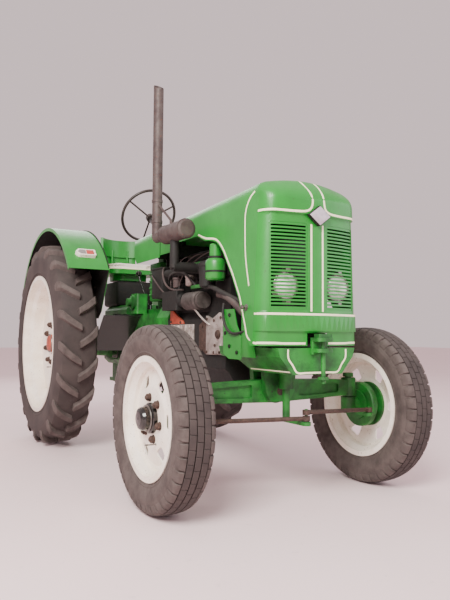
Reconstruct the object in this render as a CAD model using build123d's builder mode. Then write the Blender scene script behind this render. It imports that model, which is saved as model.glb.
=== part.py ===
# Farm tractor of about 1960 with a tilting hood, a swinging front axle and an open driver's place.
# Units are millimetres. The front is towards -Y, the driver's right is -X, and Z is up.
# The origin is on the ground, under the middle of the box round the whole tractor.

import math
import os

from build123d import *

os.makedirs("parts", exist_ok=True)

# Driving dimensions of the running gear
WHEELBASE = 2108.0
FRONT_TRACK = 1330.0
REAR_TRACK = 1300.0
FRONT_TYRE_RADIUS = 450.0
FRONT_TYRE_WIDTH = 180.0
REAR_TYRE_RADIUS = 770.0
REAR_TYRE_WIDTH = 288.0

# Rims: flange radius, half distance over the flanges, flange height, drop of the well, plates
FRONT_RIM_FLANGE = 298.0
FRONT_RIM_HALF_WIDTH = 70.0
REAR_RIM_FLANGE = 525.0
REAR_RIM_HALF_WIDTH = 132.0
RIM_FLANGE_HEIGHT = 22.0
RIM_DROP = 24.0
RIM_PLATE = 6.0
RIM_WELL_SHARE = 0.45
DISC_PLATE = 8.0
BEAD_LIP = 6.0

# Clearances: running fit, gap between seated pieces, gap round moving pieces
RUN_FIT = 0.05
SKIN_GAP = 0.3
MOVING_GAP = 6.0
HOOD_GAP = 8.0

# Corners: eased plate edges, cut plates, castings
EASED_CORNER = 1.0
PLATE_CORNER = 4.0
CASTING_CORNER = 20.0

# Hood and tank cowl
SHEET = 2.0
NOSE_OVERHANG = 395.0
NOSE_BOW = 55.0
NOSE_BOW_HALF_WIDTH = 312.0
HOOD_BOTTOM = 800.0
HOOD_TOP = 1632.0
HOOD_FALL_ANGLE = 1.9
HOOD_CROWN = 34.0
NOSE_SHOULDER = 278.0
NOSE_FOOT = 316.0
REAR_SHOULDER = 254.0
REAR_FOOT = 258.0
NOSE_CORNER_RADIUS = 80.0
HOOD_RIM_RADIUS = 70.0
HOOD_LENGTH = 1340.0
HOOD_SIDE_BOTTOM = 1370.0
COWL_LENGTH = 545.0
COWL_BOTTOM = 1356.0
COWL_TAIL_RADIUS = 48.0
COWL_PLAN_RADIUS = 90.0
FORM_OVERRUN = 60.0

# Nose face: the visor lip, the recessed grille and the proud band under it
NOSE_RECESS = 12.0
VISOR_LIP = 1440.0
BAND_TOP = 958.0
BAND_BOTTOM = 870.0
NOSE_FACE_DEPTH = 110.0
GRILLE_BOTTOM = 975.0
GRILLE_TOP = 1395.0
GRILLE_HALF_WIDTH = 256.0
BAND_HALF_WIDTH = 58.0
GRILLE_CORNER = 14.0
GRILLE_LAP = 9.0
SLOT_COUNT = 23
SLOT_MARGIN = 8.0
SLOT_SHARE = 0.5
NOTCH_WIDTH = 120.0
NOTCH_TOP = 862.0
HEADLAMP_RADIUS = 72.0
HEADLAMP_X = 160.0
HEADLAMP_Z = 1090.0
HEADLAMP_BEHIND_NOSE = 52.0
HEADLAMP_BOWL_DEPTH = 70.0
HEADLAMP_EAR = 12.0

# Gooseneck hinge of the hood, inside the cowl
HINGE_BEHIND_SEAM = 54.0
HINGE_DROP = 30.0
HINGE_PIN_RADIUS = 6.0
HINGE_SPREAD = 150.0
HINGE_ARM_THICKNESS = 10.0
HINGE_HUB_RADIUS = 12.0
HINGE_LUG_THICKNESS = 14.0

# Steering
KINGPIN_X = 530.0
KINGPIN_RADIUS = 18.0
STEER_ARM_LENGTH = 170.0
STEER_ARM_THICKNESS = 18.0
STEER_ARM_WIDTH = 40.0
STEER_ARM_Z = 405.0
CENTRE_PIVOT_AHEAD = 125.0
TIE_ROD_Z = 428.0
TIE_ROD_STEP = 30.0
TIE_ROD_RADIUS = 11.0
TIE_ROD_EYE_RADIUS = 19.0
TIE_ROD_EYE_HEIGHT = 24.0
BALL_PIN_RADIUS = 8.0
SPINDLE_RADIUS = 24.0
SPINDLE_END = 88.0
AXLE_PIN_RADIUS = 22.0
CENTRE_SHAFT_RADIUS = 20.0
CENTRE_SHAFT_TOP = 700.0
STEERING_WHEEL_RADIUS = 218.0
STEERING_RIM_RADIUS = 11.0
STEERING_RIM_DISH = 60.0
STEERING_TILT = 34.0
COLUMN_LENGTH = 420.0
COLUMN_RADIUS = 22.0
COLUMN_SHAFT_RADIUS = 11.0

# Front axle beam and bolster
BEAM_Z = 555.0
BEAM_DEPTH = 64.0
BOSS_RADIUS = 42.0
BOSS_BOTTOM = 502.0
BOSS_TOP = 606.0
BEAM_HUB_RADIUS = 66.0
BEAM_RECESS = 14.0
BOLSTER_AHEAD = 386.0
BOLSTER_TOP = 790.0
BOLSTER_BOTTOM = 663.0
BOLSTER_WALL = 16.0
PIVOT_LEG = 36.0

# Hubs
HUB_DRUM_RADIUS = 128.0
HUB_INNER = -62.0
HUB_PILOT = 60.0
REAR_HUB_PILOT = 70.0
REAR_HALF_SHAFT = 38.0
REAR_SHAFT_REACH = 210.0

# Engine, gearbox and rear axle
ENGINE_FRONT = 180.0
ENGINE_REAR = 950.0
ENGINE_HALF_WIDTH = 190.0
ENGINE_TOP = 1330.0
GEARBOX_HALF_WIDTH = 170.0
GEARBOX_NECK_HALF_WIDTH = 135.0
GEARBOX_TOP = 1080.0
GEARBOX_BOTTOM = 600.0
BELL_LENGTH = 190.0
NECK_TOP = 1000.0
COVER_TOP = 1034.0
AXLE_TUBE_RADIUS = 95.0
AXLE_TUBE_END = 160.0
PTO_RADIUS = 17.46
PTO_LENGTH = 76.0
PTO_Z = 690.0

# Fenders and foot boards
FENDER_RADIUS = 900.0
FENDER_INNER_X = 450.0
FENDER_OUTER_X = 740.0
FENDER_FRONT_ANGLE = 36.0
FENDER_REAR_ANGLE = 148.0
FENDER_SHEET = 3.0
FENDER_LIP = 24.0
FENDER_LAMP_ANGLE = 45.0
FENDER_LAMP_X = 600.0
FOOT_BOARD_SHEET = 5.0
FOOT_BOARD_Z = 720.0

# Seat
SEAT_BEHIND_AXLE = 102.0
SEAT_Z = 1345.0
SEAT_PAN_WIDTH = 450.0
SEAT_PAN_DEPTH = 410.0
SEAT_PAN_CORNER = 95.0
SEAT_PAN_SHEET = 4.0
SEAT_PAN_RIM = 42.0
CUSHION_HEIGHT = 82.0
BACKREST_BOTTOM = 1530.0
BACKREST_HEIGHT = 150.0
BACKREST_RADIUS = 240.0
BACKREST_SHEET = 24.0

# Exhaust
MUFFLER_X = -385.0
MUFFLER_RADIUS = 55.0
MUFFLER_Z = 1440.0
MUFFLER_FRONT = 280.0
MUFFLER_REAR = 570.0
STACK_BEHIND_AXLE = 700.0
STACK_RADIUS = 31.0
STACK_WALL = 2.0
STACK_TOP = 2410.0
MANIFOLD_Z = 1240.0

SIDES = {"right": -1, "left": 1}
FRONT_AXLE_Y = (FRONT_TYRE_RADIUS - REAR_TYRE_RADIUS - WHEELBASE) / 2
REAR_AXLE_Y = FRONT_AXLE_Y + WHEELBASE
NOSE_Y = FRONT_AXLE_Y - NOSE_OVERHANG
HOOD_REAR_Y = NOSE_Y + HOOD_LENGTH
COWL_FRONT_Y = HOOD_REAR_Y + HOOD_GAP
COWL_REAR_Y = COWL_FRONT_Y + COWL_LENGTH
HOOD_FALL = math.tan(math.radians(HOOD_FALL_ANGLE))
HINGE_Y = COWL_FRONT_Y + HINGE_BEHIND_SEAM
HINGE_Z = HOOD_TOP - (COWL_FRONT_Y - NOSE_Y) * HOOD_FALL - HINGE_DROP


def fore(distance):
    """Y of a place at a distance behind the front axle."""
    return FRONT_AXLE_Y + distance


def aft(distance):
    """Y of a place at a distance behind the rear axle."""
    return REAR_AXLE_Y + distance


def level(z):
    """Plane for outlines seen from above, at a height: extrusions go up."""
    return Plane.XY.offset(z)


def across(x):
    """Plane for outlines seen from the side, as (Y, Z): extrusions go to the left side."""
    return Plane.YZ.offset(x)


def facing(y):
    """Plane for outlines seen from the front, as (X, Z): extrusions go forwards."""
    return Plane.XZ.offset(-y)


def save(builder, label):
    """Label the piece and write it as its own STEP file."""
    builder.part.label = label
    export_step(builder.part, f"parts/{label}.step")


def rod(start, end, radius, mode=Mode.ADD):
    """A round bar or bore between two points, in the piece being built."""
    line = Vector(*end) - Vector(*start)
    with BuildSketch(Plane(origin=start, z_dir=line)) as face:
        Circle(radius)
    extrude(face.sketch, amount=line.length, mode=mode)


def prism(plane, outline, depth, corner=0.0, mode=Mode.ADD, both=False):
    """A straight-sided solid or pocket of the given outline, in the piece being built."""
    with BuildSketch(plane) as face:
        with BuildLine():
            Polyline(*outline, close=True)
        make_face()
        if corner:
            fillet(face.vertices(), radius=corner)
    extrude(face.sketch, amount=depth, both=both, mode=mode)


def block(x_range, y_range, z_range, corner=EASED_CORNER, mode=Mode.ADD):
    """An upright block with rounded upright edges, in the piece being built."""
    middle = ((x_range[0] + x_range[1]) / 2, (y_range[0] + y_range[1]) / 2)
    with BuildSketch(level(z_range[0])) as face:
        with Locations(middle):
            RectangleRounded(abs(x_range[1] - x_range[0]), abs(y_range[1] - y_range[0]), corner)
    extrude(face.sketch, amount=z_range[1] - z_range[0], mode=mode)


def spun(origin, along, profile, mode=Mode.ADD):
    """A solid of revolution from (distance along the axis, radius) points, in the piece being built."""
    axis = Vector(*along).normalized()
    sideways = Vector(1, 0, 0) if axis.Z == 1 else Vector(0, 0, 1)
    plane = Plane(origin=origin, x_dir=axis, z_dir=axis.cross(sideways))
    with BuildSketch(plane) as face:
        with BuildLine():
            Polyline(*profile, close=True)
        make_face()
    revolve(face.sketch, axis=Axis(origin, axis), mode=mode)


def wheel_centre(side, track, axle_y, radius):
    """The middle of a wheel, on its axis."""
    return (side * track / 2, axle_y, radius)


# Wheels

def tyre(side, track, axle_y, radius, width, flange, half_rim):
    """A tyre as a closed ring, from the bead seats to the tops of the lugs."""
    seat = flange - RIM_FLANGE_HEIGHT + SKIN_GAP
    bead = half_rim - RIM_PLATE - SKIN_GAP
    bulge = (flange + radius) / 2
    crown = radius - width * 0.05
    shoulder = width * 0.42
    heel = flange + BEAD_LIP
    centre = wheel_centre(side, track, axle_y, radius)
    with BuildPart() as ring:
        with BuildSketch(Plane(origin=centre, x_dir=(side, 0, 0), z_dir=(0, -1, 0))):
            with BuildLine():
                Polyline((-bead, heel), (-bead, seat), (bead, seat), (bead, heel))
                ThreePointArc((bead, heel), (width / 2, bulge), (shoulder, crown))
                ThreePointArc((shoulder, crown), (0, radius), (-shoulder, crown))
                ThreePointArc((-shoulder, crown), (-width / 2, bulge), (-bead, heel))
            make_face()
        revolve(axis=Axis(centre, (1, 0, 0)))
    return ring


def rim(centre, side, flange, half_rim, disc_profile, holes, hole_place, hole_outline):
    """A rolled rim with its drop centre, and the dished disc welded into it."""
    seat = flange - RIM_FLANGE_HEIGHT
    drop = seat - RIM_DROP
    well = half_rim * RIM_WELL_SHARE
    outer = [(-half_rim, flange), (-half_rim, seat - RIM_PLATE), (-well - RIM_DROP, seat - RIM_PLATE),
             (-well, drop - RIM_PLATE), (well, drop - RIM_PLATE), (well + RIM_DROP, seat - RIM_PLATE),
             (half_rim, seat - RIM_PLATE), (half_rim, flange)]
    inner = [(half_rim - RIM_PLATE, flange), (half_rim - RIM_PLATE, seat),
             (well + RIM_DROP - RIM_PLATE, seat), (well - RIM_PLATE, drop), (RIM_PLATE - well, drop),
             (RIM_PLATE - well - RIM_DROP, seat), (RIM_PLATE - half_rim, seat),
             (RIM_PLATE - half_rim, flange)]
    with BuildPart() as wheel:
        spun(centre, (side, 0, 0), outer + inner)
        spun(centre, (side, 0, 0), disc_profile + [(x + DISC_PLATE, r) for x, r in reversed(disc_profile)])
        for index in range(holes):
            turn = math.radians(360.0 * (index + 0.5) / holes)
            spot = Vector(*centre) + Vector(0, math.sin(turn), math.cos(turn)) * hole_place
            plane = Plane(origin=spot, x_dir=(0, math.cos(turn), -math.sin(turn)), z_dir=(side, 0, 0))
            prism(plane, hole_outline, half_rim, corner=HAND_HOLE_CORNER, mode=Mode.SUBTRACT, both=True)
    return wheel


# Wheel discs as (outboard, radius) points, the hand holes as (along the ring, outwards)
FRONT_DISC_SEAT = 26.0
FRONT_WELL = FRONT_RIM_FLANGE - RIM_FLANGE_HEIGHT - RIM_DROP - RIM_PLATE
FRONT_DISC = [(4, FRONT_WELL), (2, 226), (8, 214), (FRONT_DISC_SEAT, 150), (FRONT_DISC_SEAT, HUB_PILOT)]
REAR_DISC_SEAT = 6.0
REAR_WELL = REAR_RIM_FLANGE - RIM_FLANGE_HEIGHT - RIM_DROP - RIM_PLATE
REAR_DISC = [(-30, REAR_WELL), (-30, 452), (-22, 430), (REAR_DISC_SEAT, 265),
             (REAR_DISC_SEAT, REAR_HUB_PILOT)]
HAND_HOLES = 6
HAND_HOLE_PLACE = 186.0
HAND_HOLE_CORNER = 13.0
HAND_HOLE = [(-38, 30), (-22, -32), (22, -32), (38, 30)]

for name, side in SIDES.items():
    front_tyre = tyre(side, FRONT_TRACK, FRONT_AXLE_Y, FRONT_TYRE_RADIUS, FRONT_TYRE_WIDTH,
                      FRONT_RIM_FLANGE, FRONT_RIM_HALF_WIDTH)
    save(front_tyre, f"front_tyre_{name}")
    front_centre = wheel_centre(side, FRONT_TRACK, FRONT_AXLE_Y, FRONT_TYRE_RADIUS)
    front_wheel = rim(front_centre, side, FRONT_RIM_FLANGE, FRONT_RIM_HALF_WIDTH, FRONT_DISC,
                      HAND_HOLES, HAND_HOLE_PLACE, HAND_HOLE)
    save(front_wheel, f"front_wheel_{name}")
    rear_tyre = tyre(side, REAR_TRACK, REAR_AXLE_Y, REAR_TYRE_RADIUS, REAR_TYRE_WIDTH,
                     REAR_RIM_FLANGE, REAR_RIM_HALF_WIDTH)
    save(rear_tyre, f"rear_tyre_{name}")
    rear_centre = wheel_centre(side, REAR_TRACK, REAR_AXLE_Y, REAR_TYRE_RADIUS)
    rear_wheel = rim(rear_centre, side, REAR_RIM_FLANGE, REAR_RIM_HALF_WIDTH, REAR_DISC, 0, 0.0, HAND_HOLE)
    save(rear_wheel, f"rear_wheel_{name}")

# Hubs as (outboard, radius) points: brake drum, neck, disc flange, pilot and domed cap
HUB_BORE = SPINDLE_RADIUS + RUN_FIT
CAP_START = FRONT_DISC_SEAT + DISC_PLATE + SKIN_GAP
FRONT_HUB = [
    (HUB_INNER, HUB_BORE), (HUB_INNER, HUB_DRUM_RADIUS - 6), (HUB_INNER + 6, HUB_DRUM_RADIUS),
    (HUB_INNER + 34, HUB_DRUM_RADIUS), (HUB_INNER + 42, 74), (4, 62), (12, 128),
    (FRONT_DISC_SEAT, 128), (FRONT_DISC_SEAT, HUB_PILOT - SKIN_GAP), (CAP_START, HUB_PILOT - SKIN_GAP),
    (CAP_START, 74), (52, 72), (60, 58), (86, 56), (98, 50), (105, 34), (108, 0),
    (SPINDLE_END + 4, 0), (SPINDLE_END + 4, HUB_BORE),
]
REAR_CAP_START = REAR_DISC_SEAT + DISC_PLATE
REAR_HUB = [
    (-REAR_SHAFT_REACH, 0), (-REAR_SHAFT_REACH, REAR_HALF_SHAFT), (-26, REAR_HALF_SHAFT), (-12, 148),
    (REAR_DISC_SEAT, 148), (REAR_DISC_SEAT, REAR_HUB_PILOT - SKIN_GAP),
    (REAR_CAP_START, REAR_HUB_PILOT - SKIN_GAP), (30, 66), (44, 52), (50, 30), (52, 0),
]
# Knuckle spindle as (outboard, radius) points from the kingpin line
KNUCKLE_OFFSET = FRONT_TRACK / 2 - KINGPIN_X
KNUCKLE_FLANGE = HUB_INNER - MOVING_GAP
SPINDLE = [
    (-KNUCKLE_OFFSET, 0), (-KNUCKLE_OFFSET, 38), (KNUCKLE_FLANGE - 14, 42), (KNUCKLE_FLANGE - 10, 84),
    (KNUCKLE_FLANGE, 84), (KNUCKLE_FLANGE, SPINDLE_RADIUS), (SPINDLE_END, SPINDLE_RADIUS), (SPINDLE_END, 0),
]
KINGPIN_CAP_RADIUS = 30.0
KINGPIN_CAP_HEIGHT = 22.0
KINGPIN_CAP_BOTTOM = BOSS_TOP + MOVING_GAP
KNUCKLE_BOSS_TOP = BOSS_BOTTOM - MOVING_GAP
BALL_PIN_STAND = 4.0
BALL_PIN_TOP = TIE_ROD_Z + TIE_ROD_EYE_HEIGHT + BALL_PIN_STAND

for name, side in SIDES.items():
    front_centre = wheel_centre(side, FRONT_TRACK, FRONT_AXLE_Y, FRONT_TYRE_RADIUS)
    with BuildPart() as front_hub:
        spun(front_centre, (side, 0, 0), FRONT_HUB)
    save(front_hub, f"front_hub_{name}")
    with BuildPart() as rear_hub:
        spun(wheel_centre(side, REAR_TRACK, REAR_AXLE_Y, REAR_TYRE_RADIUS), (side, 0, 0), REAR_HUB)
    save(rear_hub, f"rear_hub_{name}")
    pin_x = side * KINGPIN_X
    ball_y = FRONT_AXLE_Y - STEER_ARM_LENGTH
    arm_top = STEER_ARM_Z + STEER_ARM_THICKNESS
    with BuildPart() as knuckle:
        spun(front_centre, (side, 0, 0), SPINDLE)
        rod((pin_x, FRONT_AXLE_Y, STEER_ARM_Z), (pin_x, FRONT_AXLE_Y, KNUCKLE_BOSS_TOP), BOSS_RADIUS)
        rod((pin_x, FRONT_AXLE_Y, STEER_ARM_Z), (pin_x, FRONT_AXLE_Y, KINGPIN_CAP_BOTTOM), KINGPIN_RADIUS)
        rod((pin_x, FRONT_AXLE_Y, KINGPIN_CAP_BOTTOM),
            (pin_x, FRONT_AXLE_Y, KINGPIN_CAP_BOTTOM + KINGPIN_CAP_HEIGHT), KINGPIN_CAP_RADIUS)
        with BuildSketch(level(STEER_ARM_Z)):
            with Locations((pin_x, FRONT_AXLE_Y - STEER_ARM_LENGTH / 2)):
                SlotCenterToCenter(STEER_ARM_LENGTH, STEER_ARM_WIDTH, rotation=90)
        extrude(amount=STEER_ARM_THICKNESS)
        rod((pin_x, ball_y, arm_top), (pin_x, ball_y, BALL_PIN_TOP), BALL_PIN_RADIUS)
    save(knuckle, f"knuckle_{name}")

# Front axle beam: a waisted forging of H section with the kingpin bosses and the pivot eye
BEAM_HALF = [(0, 620), (110, 612), (300, 606), (470, 598), (KINGPIN_X, 590), (KINGPIN_X, 516),
             (470, 508), (300, 502), (110, 496), (0, 492)]
BEAM_POCKET = [(150, 590), (290, 584), (430, 577), (430, 531), (290, 524), (150, 520)]
BEAM_POCKET_CORNER = 10.0
beam_front = FRONT_AXLE_Y - BEAM_DEPTH / 2
beam_rear = FRONT_AXLE_Y + BEAM_DEPTH / 2
with BuildPart() as axle_beam:
    prism(facing(beam_rear), BEAM_HALF, BEAM_DEPTH)
    for face_y in (beam_front + BEAM_RECESS, beam_rear):
        prism(facing(face_y), BEAM_POCKET, BEAM_RECESS, corner=BEAM_POCKET_CORNER, mode=Mode.SUBTRACT)
    mirror(about=Plane.YZ)
    for side in SIDES.values():
        boss_low = (side * KINGPIN_X, FRONT_AXLE_Y, BOSS_BOTTOM)
        boss_high = (side * KINGPIN_X, FRONT_AXLE_Y, BOSS_TOP)
        rod(boss_low, boss_high, BOSS_RADIUS)
        rod(boss_low, boss_high, KINGPIN_RADIUS + RUN_FIT, mode=Mode.SUBTRACT)
    eye_front = (0, beam_front, BEAM_Z)
    eye_rear = (0, beam_rear, BEAM_Z)
    rod(eye_front, eye_rear, BEAM_HUB_RADIUS)
    rod(eye_front, eye_rear, AXLE_PIN_RADIUS + RUN_FIT, mode=Mode.SUBTRACT)
save(axle_beam, "front_axle_beam")

# Bolster: the box casting under the nose, open below, with the pivot legs and the steering shaft boss
BOLSTER_FRONT = FRONT_AXLE_Y - BOLSTER_AHEAD
BOLSTER_FACE = [(-234, BOLSTER_TOP), (-222, 748), (-150, BOLSTER_BOTTOM), (150, BOLSTER_BOTTOM),
                (222, 748), (234, BOLSTER_TOP)]
BOLSTER_HOLLOW = [(-216, BOLSTER_TOP - BOLSTER_WALL), (-206, 752), (-140, 656), (-140, 560), (140, 560),
                  (140, 656), (206, 752), (216, BOLSTER_TOP - BOLSTER_WALL)]
BOLSTER_HEEL = [(-50, 560), (-50, 645), (45, 735), (ENGINE_FRONT + 10, 735), (ENGINE_FRONT + 10, 560)]
LEG_OUTLINE = [(-110, BOLSTER_TOP), (-92, BEAM_Z), (-62, BEAM_Z - 52), (62, BEAM_Z - 52), (92, BEAM_Z),
               (110, BOLSTER_TOP)]
LEG_CORNER = 22.0
SHAFT_BOSS_RADIUS = 38.0
SHAFT_BOSS_BOTTOM = 573.0
CENTRE_PIVOT_Y = FRONT_AXLE_Y - CENTRE_PIVOT_AHEAD
leg_front_y = beam_front - MOVING_GAP
leg_rear_y = beam_rear + MOVING_GAP
pivot_front = (0, leg_front_y - PIVOT_LEG, BEAM_Z)
pivot_rear = (0, leg_rear_y + PIVOT_LEG, BEAM_Z)
bolster_rear = fore(ENGINE_FRONT)
bolster_length = bolster_rear - BOLSTER_FRONT
with BuildPart() as bolster:
    prism(facing(bolster_rear), BOLSTER_FACE, bolster_length)
    prism(facing(bolster_rear - BOLSTER_WALL), BOLSTER_HOLLOW, bolster_length - 2 * BOLSTER_WALL,
          mode=Mode.SUBTRACT)
    heel = [(fore(y), z) for y, z in BOLSTER_HEEL]
    prism(across(0), heel, BOLSTER_AHEAD, mode=Mode.SUBTRACT, both=True)
    prism(facing(leg_front_y), LEG_OUTLINE, PIVOT_LEG, corner=LEG_CORNER)
    prism(facing(leg_rear_y + PIVOT_LEG), LEG_OUTLINE, PIVOT_LEG, corner=LEG_CORNER)
    rod(pivot_front, pivot_rear, AXLE_PIN_RADIUS + RUN_FIT, mode=Mode.SUBTRACT)
    rod((0, CENTRE_PIVOT_Y, SHAFT_BOSS_BOTTOM), (0, CENTRE_PIVOT_Y, BOLSTER_TOP), SHAFT_BOSS_RADIUS)
    rod((0, CENTRE_PIVOT_Y, SHAFT_BOSS_BOTTOM), (0, CENTRE_PIVOT_Y, CENTRE_SHAFT_TOP + MOVING_GAP),
        CENTRE_SHAFT_RADIUS + RUN_FIT, mode=Mode.SUBTRACT)
save(bolster, "front_bolster")

with BuildPart() as axle_pin:
    rod(pivot_front, pivot_rear, AXLE_PIN_RADIUS)
save(axle_pin, "axle_pivot_pin")

# Centre steering arm under the bolster and the two tie rods
CENTRE_ARM_WIDTH = 46.0
TIE_ROD_WELD = 4.0
centre_ball_y = CENTRE_PIVOT_Y - STEER_ARM_LENGTH
with BuildPart() as centre_arm:
    with BuildSketch(level(STEER_ARM_Z)):
        with Locations((0, CENTRE_PIVOT_Y - STEER_ARM_LENGTH / 2)):
            SlotCenterToCenter(STEER_ARM_LENGTH, CENTRE_ARM_WIDTH, rotation=90)
    extrude(amount=STEER_ARM_THICKNESS)
    rod((0, CENTRE_PIVOT_Y, STEER_ARM_Z), (0, CENTRE_PIVOT_Y, CENTRE_SHAFT_TOP), CENTRE_SHAFT_RADIUS)
    rod((0, centre_ball_y, STEER_ARM_Z), (0, centre_ball_y, BALL_PIN_TOP + TIE_ROD_STEP), BALL_PIN_RADIUS)
save(centre_arm, "centre_steering_arm")

for name, side in SIDES.items():
    step = TIE_ROD_STEP if side > 0 else 0.0
    half_eye = TIE_ROD_EYE_HEIGHT / 2
    outer_end = Vector(side * KINGPIN_X, FRONT_AXLE_Y - STEER_ARM_LENGTH, TIE_ROD_Z + half_eye)
    inner_end = Vector(0, centre_ball_y, TIE_ROD_Z + half_eye + step)
    run = outer_end - inner_end
    reach = run.normalized() * (TIE_ROD_EYE_RADIUS - TIE_ROD_WELD)
    with BuildPart() as tie_rod:
        rod(tuple(inner_end + reach), tuple(outer_end - reach), TIE_ROD_RADIUS)
        for end in (outer_end, inner_end):
            low = (end.X, end.Y, end.Z - half_eye)
            high = (end.X, end.Y, end.Z + half_eye)
            rod(low, high, TIE_ROD_EYE_RADIUS)
            rod(low, high, BALL_PIN_RADIUS + RUN_FIT, mode=Mode.SUBTRACT)
    save(tie_rod, f"tie_rod_{name}")


# Hood and tank cowl share one form: leaning sides under a crowned top, narrower towards the driver

def hood_section(y, inset):
    """The upright section of the form at one place along the tractor."""
    share = (y - NOSE_Y) / HOOD_LENGTH
    shoulder = NOSE_SHOULDER + (REAR_SHOULDER - NOSE_SHOULDER) * share - inset
    foot = NOSE_FOOT + (REAR_FOOT - NOSE_FOOT) * share - inset
    top = HOOD_TOP - (y - NOSE_Y) * HOOD_FALL - inset
    with BuildSketch(facing(y)) as section:
        with BuildLine():
            Polyline((-shoulder, top - HOOD_CROWN), (-foot, HOOD_BOTTOM), (foot, HOOD_BOTTOM),
                     (shoulder, top - HOOD_CROWN))
            ThreePointArc((shoulder, top - HOOD_CROWN), (0, top), (-shoulder, top - HOOD_CROWN))
        make_face()
    return section


def nose_corner(edge):
    """Whether an edge is one of the two upright ones where the nose meets the sides."""
    box = edge.bounding_box()
    return box.max.Y < NOSE_Y + NOSE_FACE_DEPTH + SHEET and box.size.Z > (HOOD_TOP - HOOD_BOTTOM) / 2


def hood_rim(edge):
    """Whether an edge runs round the hood's top, all but the one at the open rear."""
    box = edge.bounding_box()
    return box.min.Z > HOOD_SIDE_BOTTOM + HOOD_CROWN and box.min.Y < HOOD_REAR_Y - 1


def hood_form():
    """The hood's outer form: the section drawn along, cut to the bowed nose, then rounded."""
    wide = NOSE_FOOT + HOOD_GAP * 3
    bow = NOSE_BOW * (wide / NOSE_BOW_HALF_WIDTH) ** 2
    front_section = hood_section(NOSE_Y - FORM_OVERRUN, 0.0)
    rear_section = hood_section(HOOD_REAR_Y, 0.0)
    with BuildPart() as form:
        loft([front_section.sketch, rear_section.sketch], ruled=True)
        with BuildSketch(level(HOOD_BOTTOM - FORM_OVERRUN)):
            with BuildLine():
                Polyline((-wide, NOSE_Y + bow), (-wide, HOOD_REAR_Y + FORM_OVERRUN),
                         (wide, HOOD_REAR_Y + FORM_OVERRUN), (wide, NOSE_Y + bow))
                ThreePointArc((wide, NOSE_Y + bow), (0, NOSE_Y), (-wide, NOSE_Y + bow))
            make_face()
        extrude(amount=HOOD_TOP, mode=Mode.INTERSECT)
        fillet(form.edges().filter_by(nose_corner), radius=NOSE_CORNER_RADIUS)
        fillet(form.edges().filter_by(hood_rim), radius=HOOD_RIM_RADIUS)
    return form


def hinge_outline(points):
    """An outline given about the hood's hinge axis, as (Y, Z)."""
    return [(HINGE_Y + y, HINGE_Z + z) for y, z in points]


# Lower edge of the hood's sides, as (behind the front axle, Z), with the arch over the exhaust
HOOD_EDGE = [(-134, 700), (-134, 812), (-65, 849), (0, 1030), (118, 1306), (215, HOOD_SIDE_BOTTOM),
             (283, HOOD_SIDE_BOTTOM + 8), (390, HOOD_SIDE_BOTTOM + 48), (640, HOOD_SIDE_BOTTOM + 48),
             (740, HOOD_SIDE_BOTTOM), (HOOD_LENGTH, HOOD_SIDE_BOTTOM), (HOOD_LENGTH, 700)]
HOOD_EDGE_CORNER = 26.0
# Gooseneck arm and lug outlines about the hinge axis, as (Y, Z); both end inside the sheet
GOOSENECK = [(5.3, -4.6), (-40.8, -57), (-91, -57), (-91, 60), (-77, 60), (-77, -43), (-47.2, -43),
             (-5.3, 4.6)]
HINGE_LUG = [(-14, -12), (34, -12), (34, 60), (-14, 60)]

outer_form = hood_form()
with BuildPart() as hood_shell:
    add(outer_form.part)
    open_faces = hood_shell.faces().sort_by(Axis.Z)[:1] + hood_shell.faces().sort_by(Axis.Y)[-1:]
    offset(amount=-SHEET, openings=open_faces)
with BuildPart() as inner_form:
    add(outer_form.part)
    add(hood_shell.part, mode=Mode.SUBTRACT)


def nose_band(form, trim):
    """What the recess takes off the front of a form: the grille face and the apron."""
    with BuildPart() as band:
        lows = (HOOD_BOTTOM - FORM_OVERRUN, BAND_TOP + trim)
        highs = (BAND_BOTTOM - trim, VISOR_LIP - trim)
        for low, high in zip(lows, highs):
            block((-NOSE_FOOT - FORM_OVERRUN, NOSE_FOOT + FORM_OVERRUN),
                  (NOSE_Y - FORM_OVERRUN, NOSE_Y + NOSE_FACE_DEPTH), (low, high))
        add(Pos(0, NOSE_RECESS, 0) * form.part, mode=Mode.SUBTRACT)
    return band


def arch_cut():
    """Cut the hood's sides to their lower edge, in the piece being built."""
    prism(across(0), [(fore(y), z) for y, z in HOOD_EDGE], NOSE_FOOT * 2, corner=HOOD_EDGE_CORNER,
          mode=Mode.SUBTRACT, both=True)


with BuildPart() as hollow:
    add(inner_form.part)
    add(nose_band(inner_form, -SHEET).part, mode=Mode.SUBTRACT)
panel_x = (GRILLE_HALF_WIDTH + BAND_HALF_WIDTH) / 2
panel_width = GRILLE_HALF_WIDTH - BAND_HALF_WIDTH
panel_z = (GRILLE_BOTTOM + GRILLE_TOP) / 2
with BuildPart() as hinge_arms:
    for side in SIDES.values():
        hub_start = (side * HINGE_SPREAD - HINGE_ARM_THICKNESS / 2, HINGE_Y, HINGE_Z)
        hub_end = (side * HINGE_SPREAD + HINGE_ARM_THICKNESS / 2, HINGE_Y, HINGE_Z)
        prism(across(hub_start[0]), hinge_outline(GOOSENECK), HINGE_ARM_THICKNESS)
        rod(hub_start, hub_end, HINGE_HUB_RADIUS)
        rod(hub_start, hub_end, HINGE_PIN_RADIUS + RUN_FIT, mode=Mode.SUBTRACT)
    long_form = Pos(0, HINGE_BEHIND_SEAM + FORM_OVERRUN, (HINGE_BEHIND_SEAM + FORM_OVERRUN) * -HOOD_FALL)
    with BuildPart(mode=Mode.PRIVATE) as roof:
        add(outer_form.part)
        add(long_form * outer_form.part)
    add(roof.part, mode=Mode.INTERSECT)
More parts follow.
